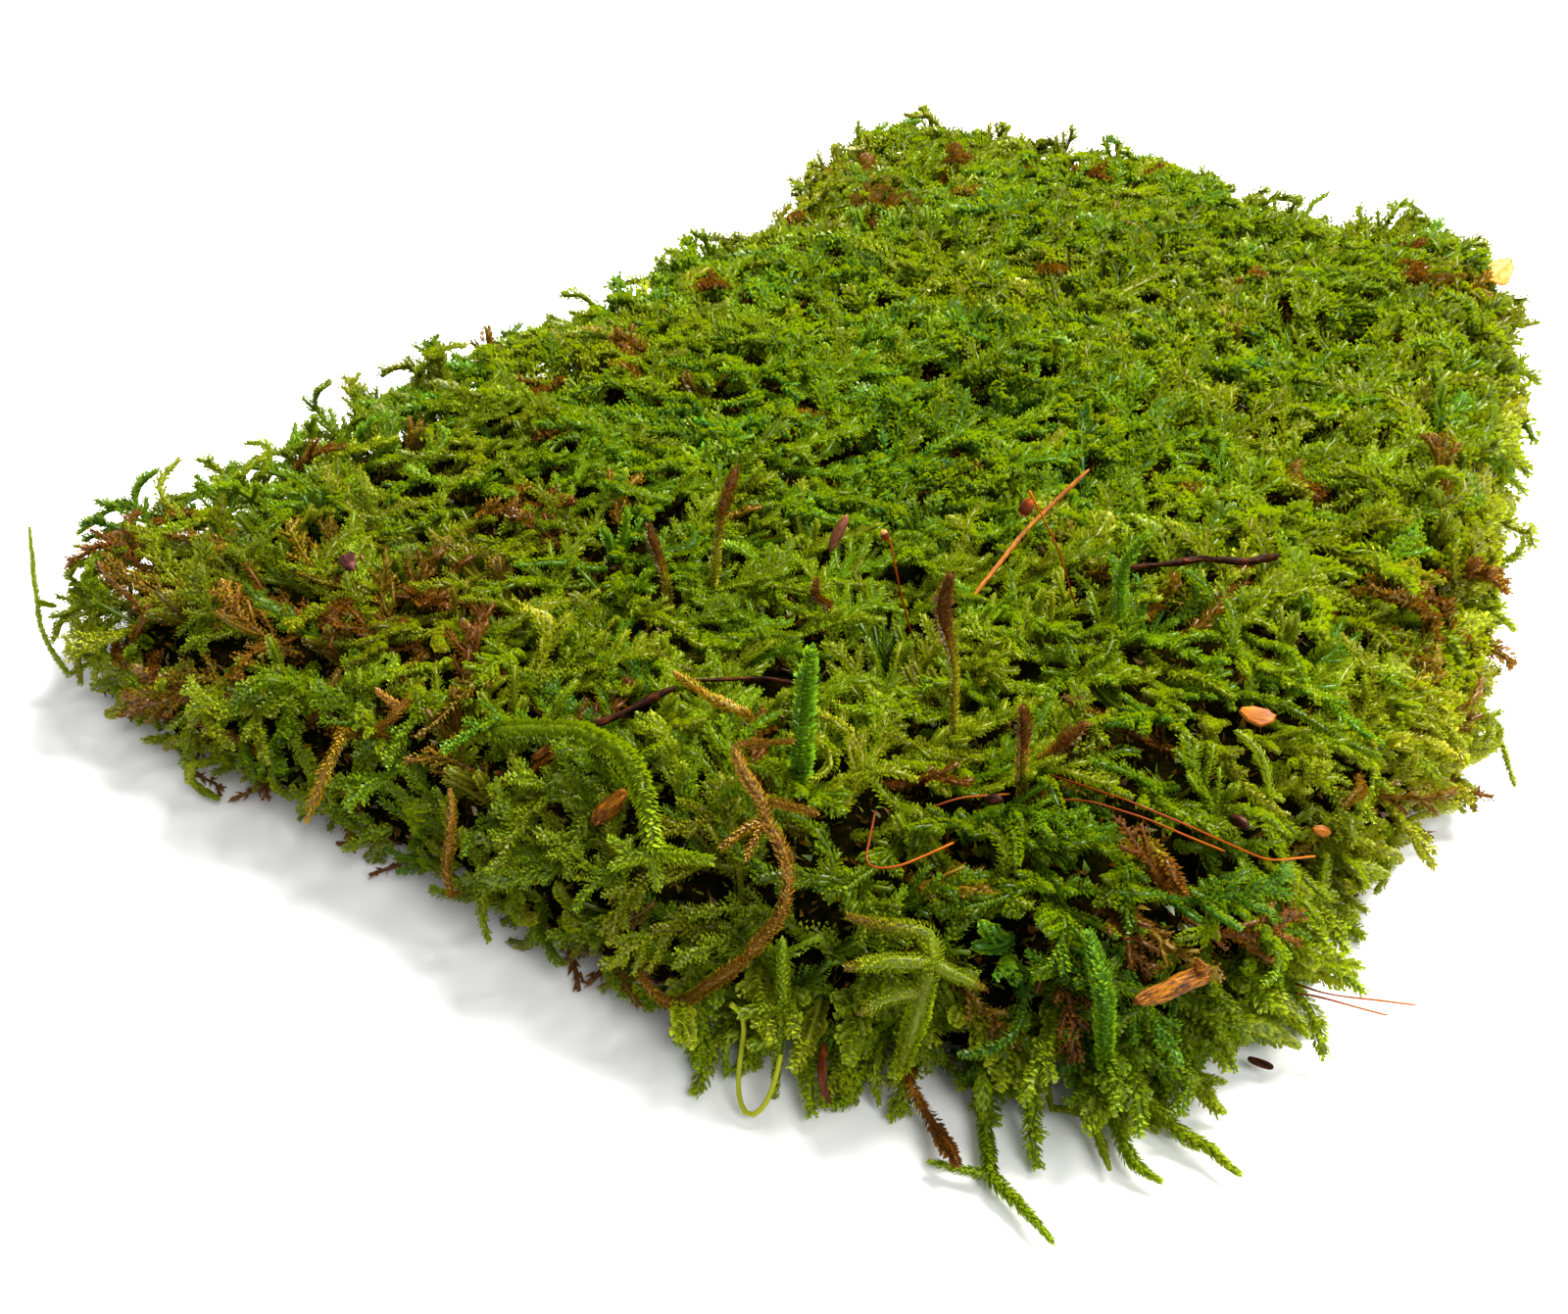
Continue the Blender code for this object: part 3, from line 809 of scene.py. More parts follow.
# %% leaf litter on the inside
def litter_piece():
    """Old leaves that cling to the inside, seen in the gaps between the fronds."""
    corners = np.array([v.co[:] for v in core.data.vertices]) / MM
    normals = np.array([v.normal[:] for v in core.data.vertices])
    places, ups, _ = spread(corners, mat_faces, normals, 52000, 23)
    open_side = places[:, 2] > 0.9
    places, ups = places[open_side], ups[open_side]
    n = len(places)
    draw = np.random.default_rng(29)
    growth = Growth("moss_litter", PLAIN_LEAF, 1.0)
    way = unit(draw.normal(0, 1, (n, 3)) + ups * 0.9)
    wide = unit(np.cross(way, draw.normal(0, 1, (n, 3))))
    long = draw.uniform(0.6, 1.1, n)[:, None]
    tints = draw.choice([0.3, 0.45, 0.7, 0.8, 0.9], n)[:, None] + draw.normal(0, 0.04, (n, 1))
    lights = draw.uniform(0.2, 0.7, n)[:, None]
    growth.leaves.append(
        np.hstack([places, wide * long, way * long, np.cross(wide, way) * long, tints, lights])
    )
    return growth.piece(DRY)


litter = litter_piece()

# %% [markdown]
# ## Fronds over the mat
#
# A plait moss creeps. Its main shoot crawls over its neighbours, and side branches leave it on
# both sides in turn, like a small fern. Fronds could be modelled once and scattered, but copies
# would cut through each other and cross the rim of the mat. So each one is grown in its place.
# Seeds are spread over the mat's skin. From each one a shoot starts inside the mat, creeps out
# to the skin and follows it, and its branches are as long as its place allows.


# %% how a frond creeps
def creep(start, normal, heading, length, lift, wander, pick, deep=2.2, perk=0.0):
    """A path that rises out of the mat, follows its skin, and may lift its tip."""
    place = Vector(start) - Vector(normal) * deep
    way = Vector(heading).normalized()
    path, ups = [tuple(place)], []
    count = max(4, int(length / 1.1))
    swing = pick.normal(0, wander)
    for i in range(count):
        share = (i + 1) / count
        near, up, _, _ = mat_tree.find_nearest(place)
        height = (place - near).dot(up)
        goal = -deep + (deep + lift) * min(1.0, share * 2.0) ** 0.8
        goal += perk * max(0.0, share - 0.6) ** 2 * 6.0
        way = way - up * way.dot(up) * 0.5 + up * 0.28 * (goal - height)
        side = way.cross(up)
        if side.length > 1e-6:
            way = way + side.normalized() * swing * 0.12
        way.normalize()
        place = place + way * (length / count)
        if place.z < 0.5:
            place.z = 0.5
        path.append(tuple(place))
        ups.append(up[:])
    return np.array(path), np.array(ups)


def frond(growth, path, ups, reach, gap, size, girth, tint, light, pick, rise_most=0.5):
    """A shoot along a path, with branches that leave it on both sides and rise a little."""
    growth.shoot(path, ups, size * 1.05, tint, light, girth=girth * 1.15)
    steps = np.diff(path, axis=0)
    lengths = np.linalg.norm(steps, axis=1)
    along = np.concatenate([[0], np.cumsum(lengths)])
    total = along[-1]
    place, side_sign = total * 0.12 + pick.uniform(0, gap), 1
    while place < total * 0.97:
        share = place / total
        i = min(int(np.searchsorted(along, place)) - 1, len(steps) - 1)
        i = max(i, 0)
        base = path[i] + steps[i] * (place - along[i]) / max(lengths[i], 1e-6)
        ahead = steps[i] / max(lengths[i], 1e-6)
        up = ups[i]
        side = np.cross(ahead, up)
        side = side / max(np.linalg.norm(side), 1e-6) * side_sign
        long = reach * (1.15 - share) * (0.35 + 0.65 * min(1, share * 4))
        long *= pick.uniform(0.55, 1.2)
        if long > 0.8:
            spread_angle = math.radians(pick.uniform(42, 66))
            rise = pick.uniform(-0.1, rise_most)
            way = ahead * math.cos(spread_angle) + side * math.sin(spread_angle) + up * rise
            count = 4 if long < 3 else 5
            branch, spot = [base], base
            curl = pick.uniform(-0.1, rise_most * 0.7)
            for k in range(count):
                way = way + ahead * 0.16 + up * curl * 0.35
                way = way / np.linalg.norm(way)
                spot = spot + way * long / count
                if spot[2] < 0.4:
                    spot = np.array([spot[0], spot[1], 0.4])
                branch.append(spot)
            branch = free_part(np.array(branch))
            if len(branch) < 3:
                side_sign = -side_sign
                place += gap
                continue
            growth.shoot(
                branch,
                up,
                size * pick.uniform(0.8, 1.0),
                tint + pick.normal(0, 0.02),
                light * pick.uniform(0.85, 1.1),
                girth=girth * pick.uniform(0.8, 1.0),
            )
        side_sign = -side_sign
        place += gap * pick.uniform(0.7, 1.3)


# %% [markdown]
# ## Colour patches, by where they are seen
#
# The clump isn't one green. It is lime where young shoots face the light, emerald in the damp
# middle, and brown where shoots have died back. A painted map could hold that, but a list of
# soft patches is easier to read and to change. Each is named after what is seen there, with its
# pixel in the photograph, judged. The camera is set down first, because a ray through
# that pixel finds the patch's place on the mat.

# %% the camera, as numbers
CAMERA_AT = (54.6, -158.1, 84.0)  # mm
CAMERA_TURN = (54.9, 0.0, 27.3)  # degrees
LENS_MM = 31.5
SENSOR_MM = 36.0
PHOTO_WIDE = 1600
PHOTO_HIGH = 1341


def seen_at(across, down):
    """The place in mm, on the mat or at the height of its top, that a pixel shows."""
    focal = LENS_MM / SENSOR_MM * PHOTO_WIDE
    ray = Vector((across - PHOTO_WIDE / 2, PHOTO_HIGH / 2 - down, -focal)).normalized()
    ray.rotate(Euler([math.radians(turn) for turn in CAMERA_TURN]))
    hit = mat_tree.ray_cast(Vector(CAMERA_AT), ray)[0]
    if hit is None:
        hit = Vector(CAMERA_AT) + ray * (MAT_TOP - CAMERA_AT[2]) / ray.z
    return hit.x, hit.y


# %% the patches
# pixel across and down, width in mm, change of tint, change of light, share of dead fronds
PATCHES = {
    "withered left corner": (175, 665, 14, 0.2, -0.12, 0.55),
    "brown beside the left corner": (385, 585, 10, 0.12, -0.1, 0.5),
    "brown scraps left of the middle": (530, 575, 9, 0.1, -0.06, 0.35),
    "brown tangle on the left side": (400, 740, 7, 0.06, 0.0, 0.4),
    "orange line inside the left rim": (600, 355, 9, 0.2, 0.0, 0.3),
    "orange rim at the back left": (830, 220, 9, 0.32, 0.0, 0.4),
    "olive back": (900, 170, 15, 0.16, 0.0, 0.12),
    "orange spot at the back right": (1500, 300, 9, 0.3, 0.05, 0.4),
    "brown spot right of the middle": (1240, 580, 7, 0.1, -0.05, 0.35),
    "brown under the spore stalks": (860, 790, 6, 0.08, -0.05, 0.35),
    "brown at the front right": (1100, 760, 6, 0.06, 0.0, 0.3),
    "lime on the left rim": (700, 290, 10, -0.12, 0.25, 0.0),
    "lime at the back": (1200, 180, 15, -0.1, 0.25, 0.0),
    "lime on the right side": (1480, 610, 20, 0.12, 0.3, 0.0),
    "yellow low on the right side": (1430, 760, 13, 0.14, 0.35, 0.05),
    "lime far along the right side": (1500, 480, 20, 0.06, 0.15, 0.0),
    "yellow tips at the front right": (1320, 1050, 9, 0.1, 0.2, 0.0),
    "fresh green on the left rim": (300, 460, 10, -0.04, 0.16, 0.0),
    "emerald at the front right": (1150, 900, 14, -0.22, -0.2, 0.0),
    "dark front": (950, 890, 9, 0.0, -0.15, 0.1),
    "emerald right of the middle": (1150, 640, 9, -0.14, 0.0, 0.0),
    "emerald middle": (980, 430, 24, -0.12, 0.0, 0.0),
    "pale yellow near the middle": (1000, 680, 9, 0.08, 0.1, 0.0),
    "duller far half": (1130, 240, 55, 0.03, -0.12, 0.0),
}
patch_at = np.array([seen_at(across, down) for across, down, *_ in PATCHES.values()])
patch_wide = np.array([row[2] for row in PATCHES.values()])
patch_moves = np.array([row[3:] for row in PATCHES.values()])
for name, place in zip(PATCHES, patch_at):
    print(name, "at", np.round(place), "mm")


# %% the tint of each place
GREEN_TINT = 0.36


def patches_over(x, y):
    """How far the patches move the tint and the light of a place, and its dead share."""
    away = np.sum((patch_at - (x, y)) ** 2, axis=1)
    return np.exp(-away / patch_wide**2) @ patch_moves


def tint_at(x, y, edge):
    """The tint that a place has by itself: soft drifts of green, and yellower at the rim."""
    broad = noise.noise(Vector((x * 0.022, y * 0.022, 3.1)))
    small = noise.noise(Vector((x * 0.11, y * 0.11, 8.7)))
    return GREEN_TINT + 0.1 * broad + 0.16 * small + 0.08 * edge


# %% [markdown]
# ## The mat, zone by zone
#
# The mat could be one mesh, but it would be far too heavy for one piece. It is grown in eight
# zones. Those at the front, near the eye, carry finer leaves and thinner ropes than those at
# the back. A frond that comes out brown goes to a piece of its own, because dead leaves let
# less light through. Where a place is still thin at the end, a small tuft fills it.

# %% zones of the mat
# name, y from, y to, x from, x to, leaf, leaves a mm, ring step, sides, gap, girth, fullness
FAR = 300.0
ZONES = (
    ("moss_corner_left", -FAR, -76, -FAR, -10, 0.48, 23, 1.3, 4, 1.2, 0.28, 6.6),
    ("moss_front_left", -76, -48, -FAR, -10, 0.5, 21, 1.3, 4, 1.2, 0.3, 6.6),
    ("moss_front_middle", -FAR, -48, -10, 32, 0.44, 28, 1.3, 4, 1.15, 0.28, 7.2),
    ("moss_front_right", -FAR, -48, 32, FAR, 0.44, 28, 1.3, 4, 1.15, 0.28, 7.2),
    ("moss_middle_left", -48, -4, -FAR, 2, 0.68, 13, 1.7, 3, 1.3, 0.38, 7.4),
    ("moss_middle_right", -48, -4, 2, FAR, 0.68, 13, 1.7, 3, 1.3, 0.38, 7.4),
    ("moss_back_left", -4, FAR, -FAR, -6, 0.86, 8, 2.2, 3, 1.6, 0.46, 5.2),
    ("moss_back_right", -4, FAR, -6, FAR, 0.86, 8, 2.2, 3, 1.6, 0.46, 5.2),
)
# On a frond that lies on the mat, leaves on the side turned to the mat are left out.
UNDERSIDE = -0.45


def tuft(growth, start, normal, size, girth, tint, light, pick, tall=1.0):
    """A few short shoots that rise together out of the mat."""
    lean = normal + pick.normal(0, 0.35, 3) * (1, 1, 0)
    for _ in range(int(pick.integers(3, 6))):
        way = unit(lean + pick.normal(0, 0.42, 3))
        long = pick.uniform(4.0, 6.0) * tall
        base = start - normal * 3.4 + pick.normal(0, 0.5, 3)
        path = [base]
        for k in range(5):
            way = unit(way + np.array([0, 0, 0.06]) + pick.normal(0, 0.1, 3))
            spot = path[-1] + way * long / 5
            spot[2] = max(spot[2], 0.4)
            path.append(spot)
        path = free_part(np.array(path))
        if len(path) < 4:
            continue
        growth.shoot(
            path,
            unit(np.cross(way, [0.2, 0.9, 0.1])),
            size,
            tint + pick.normal(0, 0.03),
            light * pick.uniform(0.85, 1.1),
            girth=girth,
        )


# The way the low front-left side faces, away from the light.
SHADY_SIDE = unit(np.array([-0.75, -0.66]))


def tint_and_light(p, edge, steep, shaded, pick):
    """The colour of one frond, with painted shade on steep sides and on the side away from the lamp."""
    more_tint, more_light, dead = patches_over(p[0], p[1])
    tint = tint_at(p[0], p[1], edge) + more_tint + pick.normal(0, 0.09)
    light = pick.uniform(0.42, 1.1) + more_light
    stray = 0.045 if p[1] < -20 else 0.015
    if pick.random() < stray + 0.55 * min(dead, 0.9):
        tint, light = pick.uniform(0.7, 0.92), pick.uniform(0.45, 1.0)
    # Painted shade: steep sides are darker, and most of all the low front-left side that faces away from
    # the lamp.
    light *= (1 - 0.2 * steep) * (1 - 0.35 * shaded)
    return max(tint, 0.04), float(np.clip(light, 0.26, 1.4))


pick = np.random.default_rng(5)
points, normals, area = spread(mat_corners, mat_faces, mat_normals, 60000, 7)
standing = points[:, 2] > 0.8
points, normals = points[standing], normals[standing]
middle = (mat_low + mat_high) / 2
foot = mat_corners[mat_corners[:, 2] < 2.0]
rim = KDTree(len(foot))
for i, p in enumerate(foot):
    rim.insert((p[0], p[1], 0), i)
rim.balance()
moss_pieces = []
dead_fronds = Growth("moss_dead", SCALE_LEAF, 16, 1.6, 3, UNDERSIDE)
for name, y_from, y_to, x_from, x_to, size, per_mm, step, sides, gap, girth, full in ZONES:
    inside = (points[:, 1] >= y_from) & (points[:, 1] < y_to)
    inside &= (points[:, 0] >= x_from) & (points[:, 0] < x_to)
    own, own_normals = points[inside], normals[inside]
    keep = thinned(own, np.full(len(own), 2.2))
    growth = Growth(name, SCALE_LEAF, per_mm, step, sides, UNDERSIDE)
    grown = filled = 0
    for p, n in zip(own[keep], own_normals[keep]):
        out = unit(p[:2] - middle[:2])
        steep = float(np.clip(1.0 - n[2], 0, 1))
        shaded = steep * float(np.clip(n[:2] @ SHADY_SIDE, 0, 1))
        edge = math.exp(-rim.find((p[0], p[1], 0))[2] / 9.0)
        angle = 6.28 * noise.noise(Vector((p[0] * 0.03, p[1] * 0.03, 1.7)))
        angle += pick.normal(0, 1.1)
        heading = np.array([math.cos(angle), math.sin(angle), pick.normal(0, 0.5) * steep])
        heading[:2] += out * 0.3 * (1 - steep)
        heading = heading - n * heading.dot(n) * 0.95
        heading[2] += shaded * 0.9
        length = pick.uniform(8, 15) * (1 - 0.5 * steep) * (1 - 0.3 * shaded)
        lift = pick.uniform(0.0, 1.0) * (1 - 0.6 * steep) - 0.9 * shaded
        if edge > 0.4 and shaded < 0.2 and pick.random() < 0.25:
            lift += pick.uniform(1.0, 2.8)
        strand = pick.random() < 0.22
        wander = 2.6 if strand else 1.0
        perk = pick.uniform(0.0, 2.2) * (1 - steep)
        path, ups = creep(p, n, heading, length, lift, wander, pick, perk=perk)
        path = free_part(path)
        if len(path) < 5 or COVER.over(path[len(path) // 3 :]) > full:
            continue
        ups = ups[: len(path)]
        grown += 1
        tint, light = tint_and_light(p, edge, steep, shaded, pick)
        reach = pick.uniform(3.0, 5.6) * (1 - 0.35 * steep) * (1 - 0.4 * shaded)
        reach *= 0.45 if strand else 1.0
        rise_most = 0.5 * (1 - 0.9 * steep)
        home = dead_fronds if tint > 0.7 else growth
        frond(home, path, ups, reach, gap, size, girth, tint, light, pick, rise_most)
    for p, n in zip(own[keep], own_normals[keep]):
        if COVER.over(np.array([p - n * 0.6, p - n * 2.2])) < full * 0.42:
            filled += 1
            edge = math.exp(-rim.find((p[0], p[1], 0))[2] / 9.0)
            steep = float(np.clip(1.0 - n[2], 0, 1))
            shaded = steep * float(np.clip(n[:2] @ SHADY_SIDE, 0, 1))
            tint, light = tint_and_light(p, edge, steep, shaded, pick)
            base = p - n * (0.4 * steep + 1.2 * shaded)
            tuft(growth, base, n, size, girth, tint, light, pick, 1 - 0.3 * steep)
    moss_pieces.append(growth.piece(MOSS))
    print(name, "fronds", grown, "of", len(keep), "and tufts", filled)
moss_pieces.append(dead_fronds.piece(DRY))

# %% [markdown]
# At the front-right corner the mat thins out into a lace of single fronds, with daylight
# between them. The creeping fronds follow the skin too closely to give that. So these start
# inside the rim, run straight outward and hang down to the ground.

# %% the lacy rim
growth = Growth("moss_lace", SCALE_LEAF, 24, 1.2, 4)
low_rim = (points[:, 2] > 1.0) & (points[:, 2] < 9.5) & (normals[:, 2] < 0.6)
corner = low_rim & (points[:, 1] < -66) & (points[:, 0] > 16) & (normals[:, 0] > 0.0)
own, own_normals = points[corner], normals[corner]
keep = thinned(own, np.full(len(own), 2.6))
for p, n in zip(own[keep], own_normals[keep]):
    heading = unit(n * (1, 1, 0.2) + pick.normal(0, 0.45, 3) * (1, 1, 0.5))
    path = [p - n * 3.0]
    way = heading
    for k in range(int(pick.integers(6, 10))):
        way = unit(way + (0, 0, -0.1) + pick.normal(0, 0.12, 3))
        spot = path[-1] + way * 1.0
        spot[2] = max(spot[2], 0.6)
        path.append(spot)
    path = np.array(path)
    ups = np.tile(unit(np.array([0.1, -0.2, 1.0])), (len(path), 1))
    tint = 0.42 + pick.normal(0, 0.06)
    frond(growth, path, ups, pick.uniform(2.0, 3.4), 1.3, 0.62, 0.34, tint, 0.9, pick)
moss_pieces.append(growth.piece(MOSS))
print("fronds in the lace", len(keep))

# %% [markdown]
# The underside of a moss carpet is its oldest part: brown stems that creep over each other,
# and keep only a few of their leaves. A flat face with a pattern would do for the photograph,
# which doesn't show it, but the part may be turned over. So stems are laid flat, in the 1 mm
# over the ground, each wandering a little as it goes.

# %% the underside
under = Growth("moss_underside", PLAIN_LEAF, 2.5, 2.0, 4)
below, below_normals, _ = spread(mat_corners, mat_faces, mat_normals, 9000, 13)
below = below[(below_normals[:, 2] < -0.7) & (below[:, 2] < 1.0)]
keep = thinned(below, np.full(len(below), 4.2))
for p in below[keep]:
    angle = pick.uniform(0, 6.28)
    height = pick.uniform(0.25, 0.75)
    path = []
    spot = np.array([p[0], p[1], height])
    for k in range(int(pick.integers(7, 12))):
        path.append(spot)
        angle += pick.normal(0, 0.3)
        spot = spot + np.array([math.cos(angle), math.sin(angle), pick.normal(0, 0.04)]) * 1.6
        spot[2] = np.clip(spot[2], 0.25, 0.8)
        if mat_tree.find_nearest(Vector((spot[0], spot[1], 0.2)))[3] > 1.0:
            break
    if len(path) > 3:
        thick = pick.uniform(0.2, 0.32)
        under.shoot(np.array(path), np.array([0, 0, -1.0]), 0.8, pick.uniform(0.8, 0.95), 0.7,
                    girth=thick)
moss_pieces.append(under.piece(DRY))
print("stems under the mat", len(keep))

# %% the mat's pieces take their place
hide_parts("moss_mat")
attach(core, "root")
for made in moss_pieces + [litter]:
    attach(made, "root")
    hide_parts("moss_mat")

# %% [markdown]
# ## The loose shoots
#
# A few dozen shoots stand up or hang out, and the eye knows each of them. They could be ropes
# like those of the mat, but they are seen singly and close. So each gets the fine leaf, in a
# close spiral along the centre line of its own solid. Withered ones are the same plant with a
# thick crumpled head, and dead ones with the leaves pressed down. Both have gone to brown.


# %% leafy shoots on their centre lines
def rooted(path, radii):
    """The path with its foot led back into the mat, so that no cut end shows."""
    near, up, _, gap = mat_tree.find_nearest(Vector(path[0]))
    if gap > 3.0:
        return path, radii
    inside = np.array(near) - np.array(up) * 2.4
    inside[2] = max(inside[2], 0.8)
    halfway = (np.array(path[0]) + inside) / 2
    return np.vstack([inside, halfway, path]), np.concatenate([radii[:1], radii[:1], radii])


def smooth_arc(path):
    """The smooth curve that fits a path, with the same number of points."""
    t = np.linspace(-1, 1, len(path))
    return np.stack([np.polyval(np.polyfit(t, path[:, i], 6), t) for i in range(3)], 1)


def clubbed(swell):
    """A withered shoot: a thin foot, and a thick crumpled head."""
    share = np.linspace(0, 1, len(swell))
    return swell * np.interp(share, [0, 0.5, 0.72, 0.9, 1], [0.55, 0.6, 1.15, 1.2, 0.7])


def knobbly(path, swell, knobs):
    """The girth with lumps along it."""
    return swell * (1 + knobs * np.array([noise.noise(Vector(p) * 0.9) for p in path]))


def loop_arms(growth, path, radii, tint):
    """The loop at the front: its left arm is bare and runs on round the bend, and its right
    arm is leafy, thin at the bend, with two short side shoots. Gives the leafy arm."""
    turn = int(np.argmin(path[:, 1]))
    arms = [(path[: turn + 1][::-1], radii[: turn + 1][::-1]), (path[turn:], radii[turn:])]
    (left, _), (right, girth) = sorted(arms, key=lambda arm: arm[0][:, 0].mean())
    past = int(len(right) * 0.4)
    whole = smooth_arc(np.vstack([left[::-1], right[1:]]))
    growth.stem(whole[: len(left) + past], 0.21, tint + 0.12, 0.62, sides=8, tip=0.9)
    leftward = np.array([-0.86, -0.42, -0.12])
    for share, long in ((0.46, 2.2), (0.62, 3.2)):
        start = right[int(len(right) * share)]
        bow = np.array([[0, 0, 0.25 * math.sin(k)] for k in range(5)])
        branch = start + np.outer(np.linspace(0, long, 5), leftward) + bow
        growth.shoot(branch, np.array([0.3, -0.5, 0.8]), 0.5, tint, 0.8, spray=30, girth=0.34)
    at = len(right) // 5
    arm = right[at:]
    return arm, girth[at:] * np.linspace(0.45, 1.15, len(arm))


# %% one loose shoot
def leafy(node, tint, light=1.0, size=0.8, spray=30.0, brown=0.0, per_mm=30.0, thin=0.72,
          knobs=0.0, club=False, brown_from=0.5, material=MOSS):
    """The leafy shoot that replaces one node. thin is its rope against the solid's radius."""
    growth = Growth("look_" + node, FINE_LEAF, per_mm, 0.7, 6)
    for k, (path, radii) in enumerate(LINES[node]):
        if node == "shoot_loop_front" and k == 0:
            path, radii = loop_arms(growth, path, radii, tint)
        elif k == 0:
            path, radii = rooted(path, radii)
        _, up, _, _ = mat_tree.find_nearest(Vector(path[len(path) // 2]))
        swell = np.clip(radii * thin, 0.5 * thin * np.median(radii), 1.2)
        swell = knobbly(path, clubbed(swell) if club else swell, knobs)
        own = size * float(np.clip(np.median(radii) / 0.5, 0.7, 1.15))
        growth.shoot(
            path,
            np.array(up),
            own,
            tint,
            light,
            spray=spray,
            girth=float(np.median(swell)),
            swell=swell,
            brown=brown,
            brown_from=brown_from,
        )
    made = growth.piece(material)
    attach(made, "root")
    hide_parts(node)
    return made


# %% the green ones
# name: tint, light, leaf, spray, thickness of the rope against the solid's radius
GREEN = {
    "shoot_left_wisp": (0.44, 0.8, 0.55, 26, 0.72),
    "shoot_left_loop": (0.46, 0.85, 0.6, 28, 0.72),
    "shoot_loop_front": (0.38, 0.8, 0.55, 26, 0.95),
    "shoot_front_short": (0.42, 0.7, 0.5, 26, 0.72),
    "shoot_front_long": (0.36, 0.75, 0.55, 26, 0.8),
    "shoot_front_forked": (0.45, 0.72, 0.5, 22, 0.9),
    "shoot_front_hooked": (0.36, 0.8, 0.55, 26, 0.9),
    "shoot_front_right_low": (0.42, 0.76, 0.55, 24, 0.9),
    "shoot_front_right_high": (0.4, 0.76, 0.55, 24, 0.9),
    "shoot_corner_low": (0.44, 0.8, 0.55, 24, 0.85),
    "shoot_corner_high": (0.44, 0.8, 0.55, 24, 0.85),
    "shoot_corner_curved": (0.44, 0.85, 0.55, 26, 0.85),
    "shoot_right_lobed": (0.46, 0.75, 0.5, 26, 0.8),
    "shoot_right_branching": (0.48, 0.8, 0.6, 28, 0.8),
    "shoot_arching_pale": (0.38, 0.82, 0.62, 40, 1.1),
    "shoot_front_frond": (0.43, 0.76, 0.42, 46, 1.35),
    "shoot_upright_green": (0.2, 1.1, 0.7, 42, 0.85),
    "shoot_stalk_front": (0.14, 0.85, 0.55, 38, 0.85),
    "shoot_upright_curled": (0.2, 1.0, 0.7, 38, 0.9),
    "shoot_arc_right": (0.42, 0.9, 0.5, 26, 0.9),
}
# Leaves a millimetre on the shoots that are large in the picture.
DENSE = {"shoot_front_frond": 56.0, "shoot_stalk_front": 44.0, "shoot_front_forked": 44.0}
loose = []
for node, (tint, light, size, spray, thin) in GREEN.items():
    brown = 0.36 if node == "shoot_front_frond" else 0.0
    per_mm = DENSE.get(node, 36.0)
    loose.append(
        leafy(node, tint, light, size, spray, brown, per_mm, thin, brown_from=0.74)
    )

# %% the withered ones
# name: tint at the foot, how far it goes to brown, light, thickness
WITHERED = {
    "shoot_withered_tall": (0.56, 0.37, 1.0, 1.25),
    "shoot_withered_dark": (0.64, 0.3, 0.95, 1.3),
    "shoot_withered_back": (0.52, 0.4, 1.0, 1.2),
    "shoot_withered_stub": (0.7, 0.23, 0.85, 1.25),
    "shoot_withered_leaning": (0.76, 0.16, 0.95, 1.25),
    "shoot_withered_curled": (0.86, 0.08, 0.85, 1.4),
    "shoot_brown_ended": (0.66, 0.2, 0.9, 1.15),
    "stem_front_brown": (0.84, 0.06, 0.7, 1.0),
}
for node, (tint, brown, light, thin) in WITHERED.items():
    club = "withered" in node
    loose.append(
        leafy(node, tint, light, 0.75, 42, brown, 34.0, thin, 0.8, club,
              material=DRY)
    )
# %% the dead ones
# name: tint, light, leaf
DEAD = {
    "dead_shoot_branched": (0.8, 0.85, 0.7),
    "dead_shoot_plaited": (0.76, 1.0, 0.9),
    "dead_shoot_yellow_tip": (0.76, 1.0, 0.7),
    "dead_shoot_hanging": (0.8, 0.95, 0.7),
    "dead_shoot_orange": (0.82, 0.95, 0.7),
}
for node, (tint, light, size) in DEAD.items():
    loose.append(
        leafy(node, tint, light, size * 0.8, 34, 0.0, 32.0, 0.85, 0.9, material=DRY)
    )

# %% [markdown]
# ## Spore stalks
#
# The stalks are hair-thin, smooth and orange-red, darker at the foot. A curve with a bevel
# would make one by hand. The tube that already makes the ropes does the same from the centre
# line, and takes the solid's own thickness at each point.


# %% stalk material
def stalk_material():
    g = Graph("stalk_red", roughness=0.4, specular=0.08)
    _, height = g.map("moss_tint")
    tone = g.ramp(
        height,
        [(0.0, rgb(62, 20, 2)), (0.5, rgb(136, 56, 2)), (1.0, rgb(176, 94, 8))],
    )
    g.set(Base_Color=tone)
    return g.material


STALK = stalk_material()


# %% the stalks
def stalk(node):
    """The tube of one stalk, light at its head and dark at its foot."""
    growth = Growth("look_" + node, FINE_LEAF, 1.0, 0.5)
    for path, radii in LINES[node]:
        thick = np.clip(radii, 0.06, 0.3)
        growth.stem(path, 0.1, 0.5, 0.1, sides=8, swell=thick, fade=0.9)
    made = growth.piece(STALK)
    made.data.shade_smooth()
    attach(made, "root")
    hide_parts(node)
    return made


for node in sorted(NODES):
    if node.startswith("seta"):
        loose.append(stalk(node))


# %% [markdown]
# Two stalks carry a capsule: a small brown urn with a pale toothed mouth. It could be turned
# from a profile, but a sphere is nearer to start with. It is made slim, pressed in at the
# mouth, and every other face round the mouth is pulled out as a tooth. It is modelled once, and
# a copy goes on the end of each stalk, as long as the solid's own capsule.
#
# A sphere's faces come in another order in each run of Blender. So the teeth are chosen by
# where they are, never by number, and the faces are put in order at the end.


# %% the capsule, modelled once
CAPSULE_SIDES = 14


def in_order(face):
    """A number that puts faces in order by height, then round the capsule, then outward."""
    at = face.calc_center_median()
    turn = (math.atan2(at.y, at.x) + 0.1) % math.tau
    return round(at.z, 3) * 1e4 + round(turn, 3) + math.hypot(at.x, at.y) * 1e-4


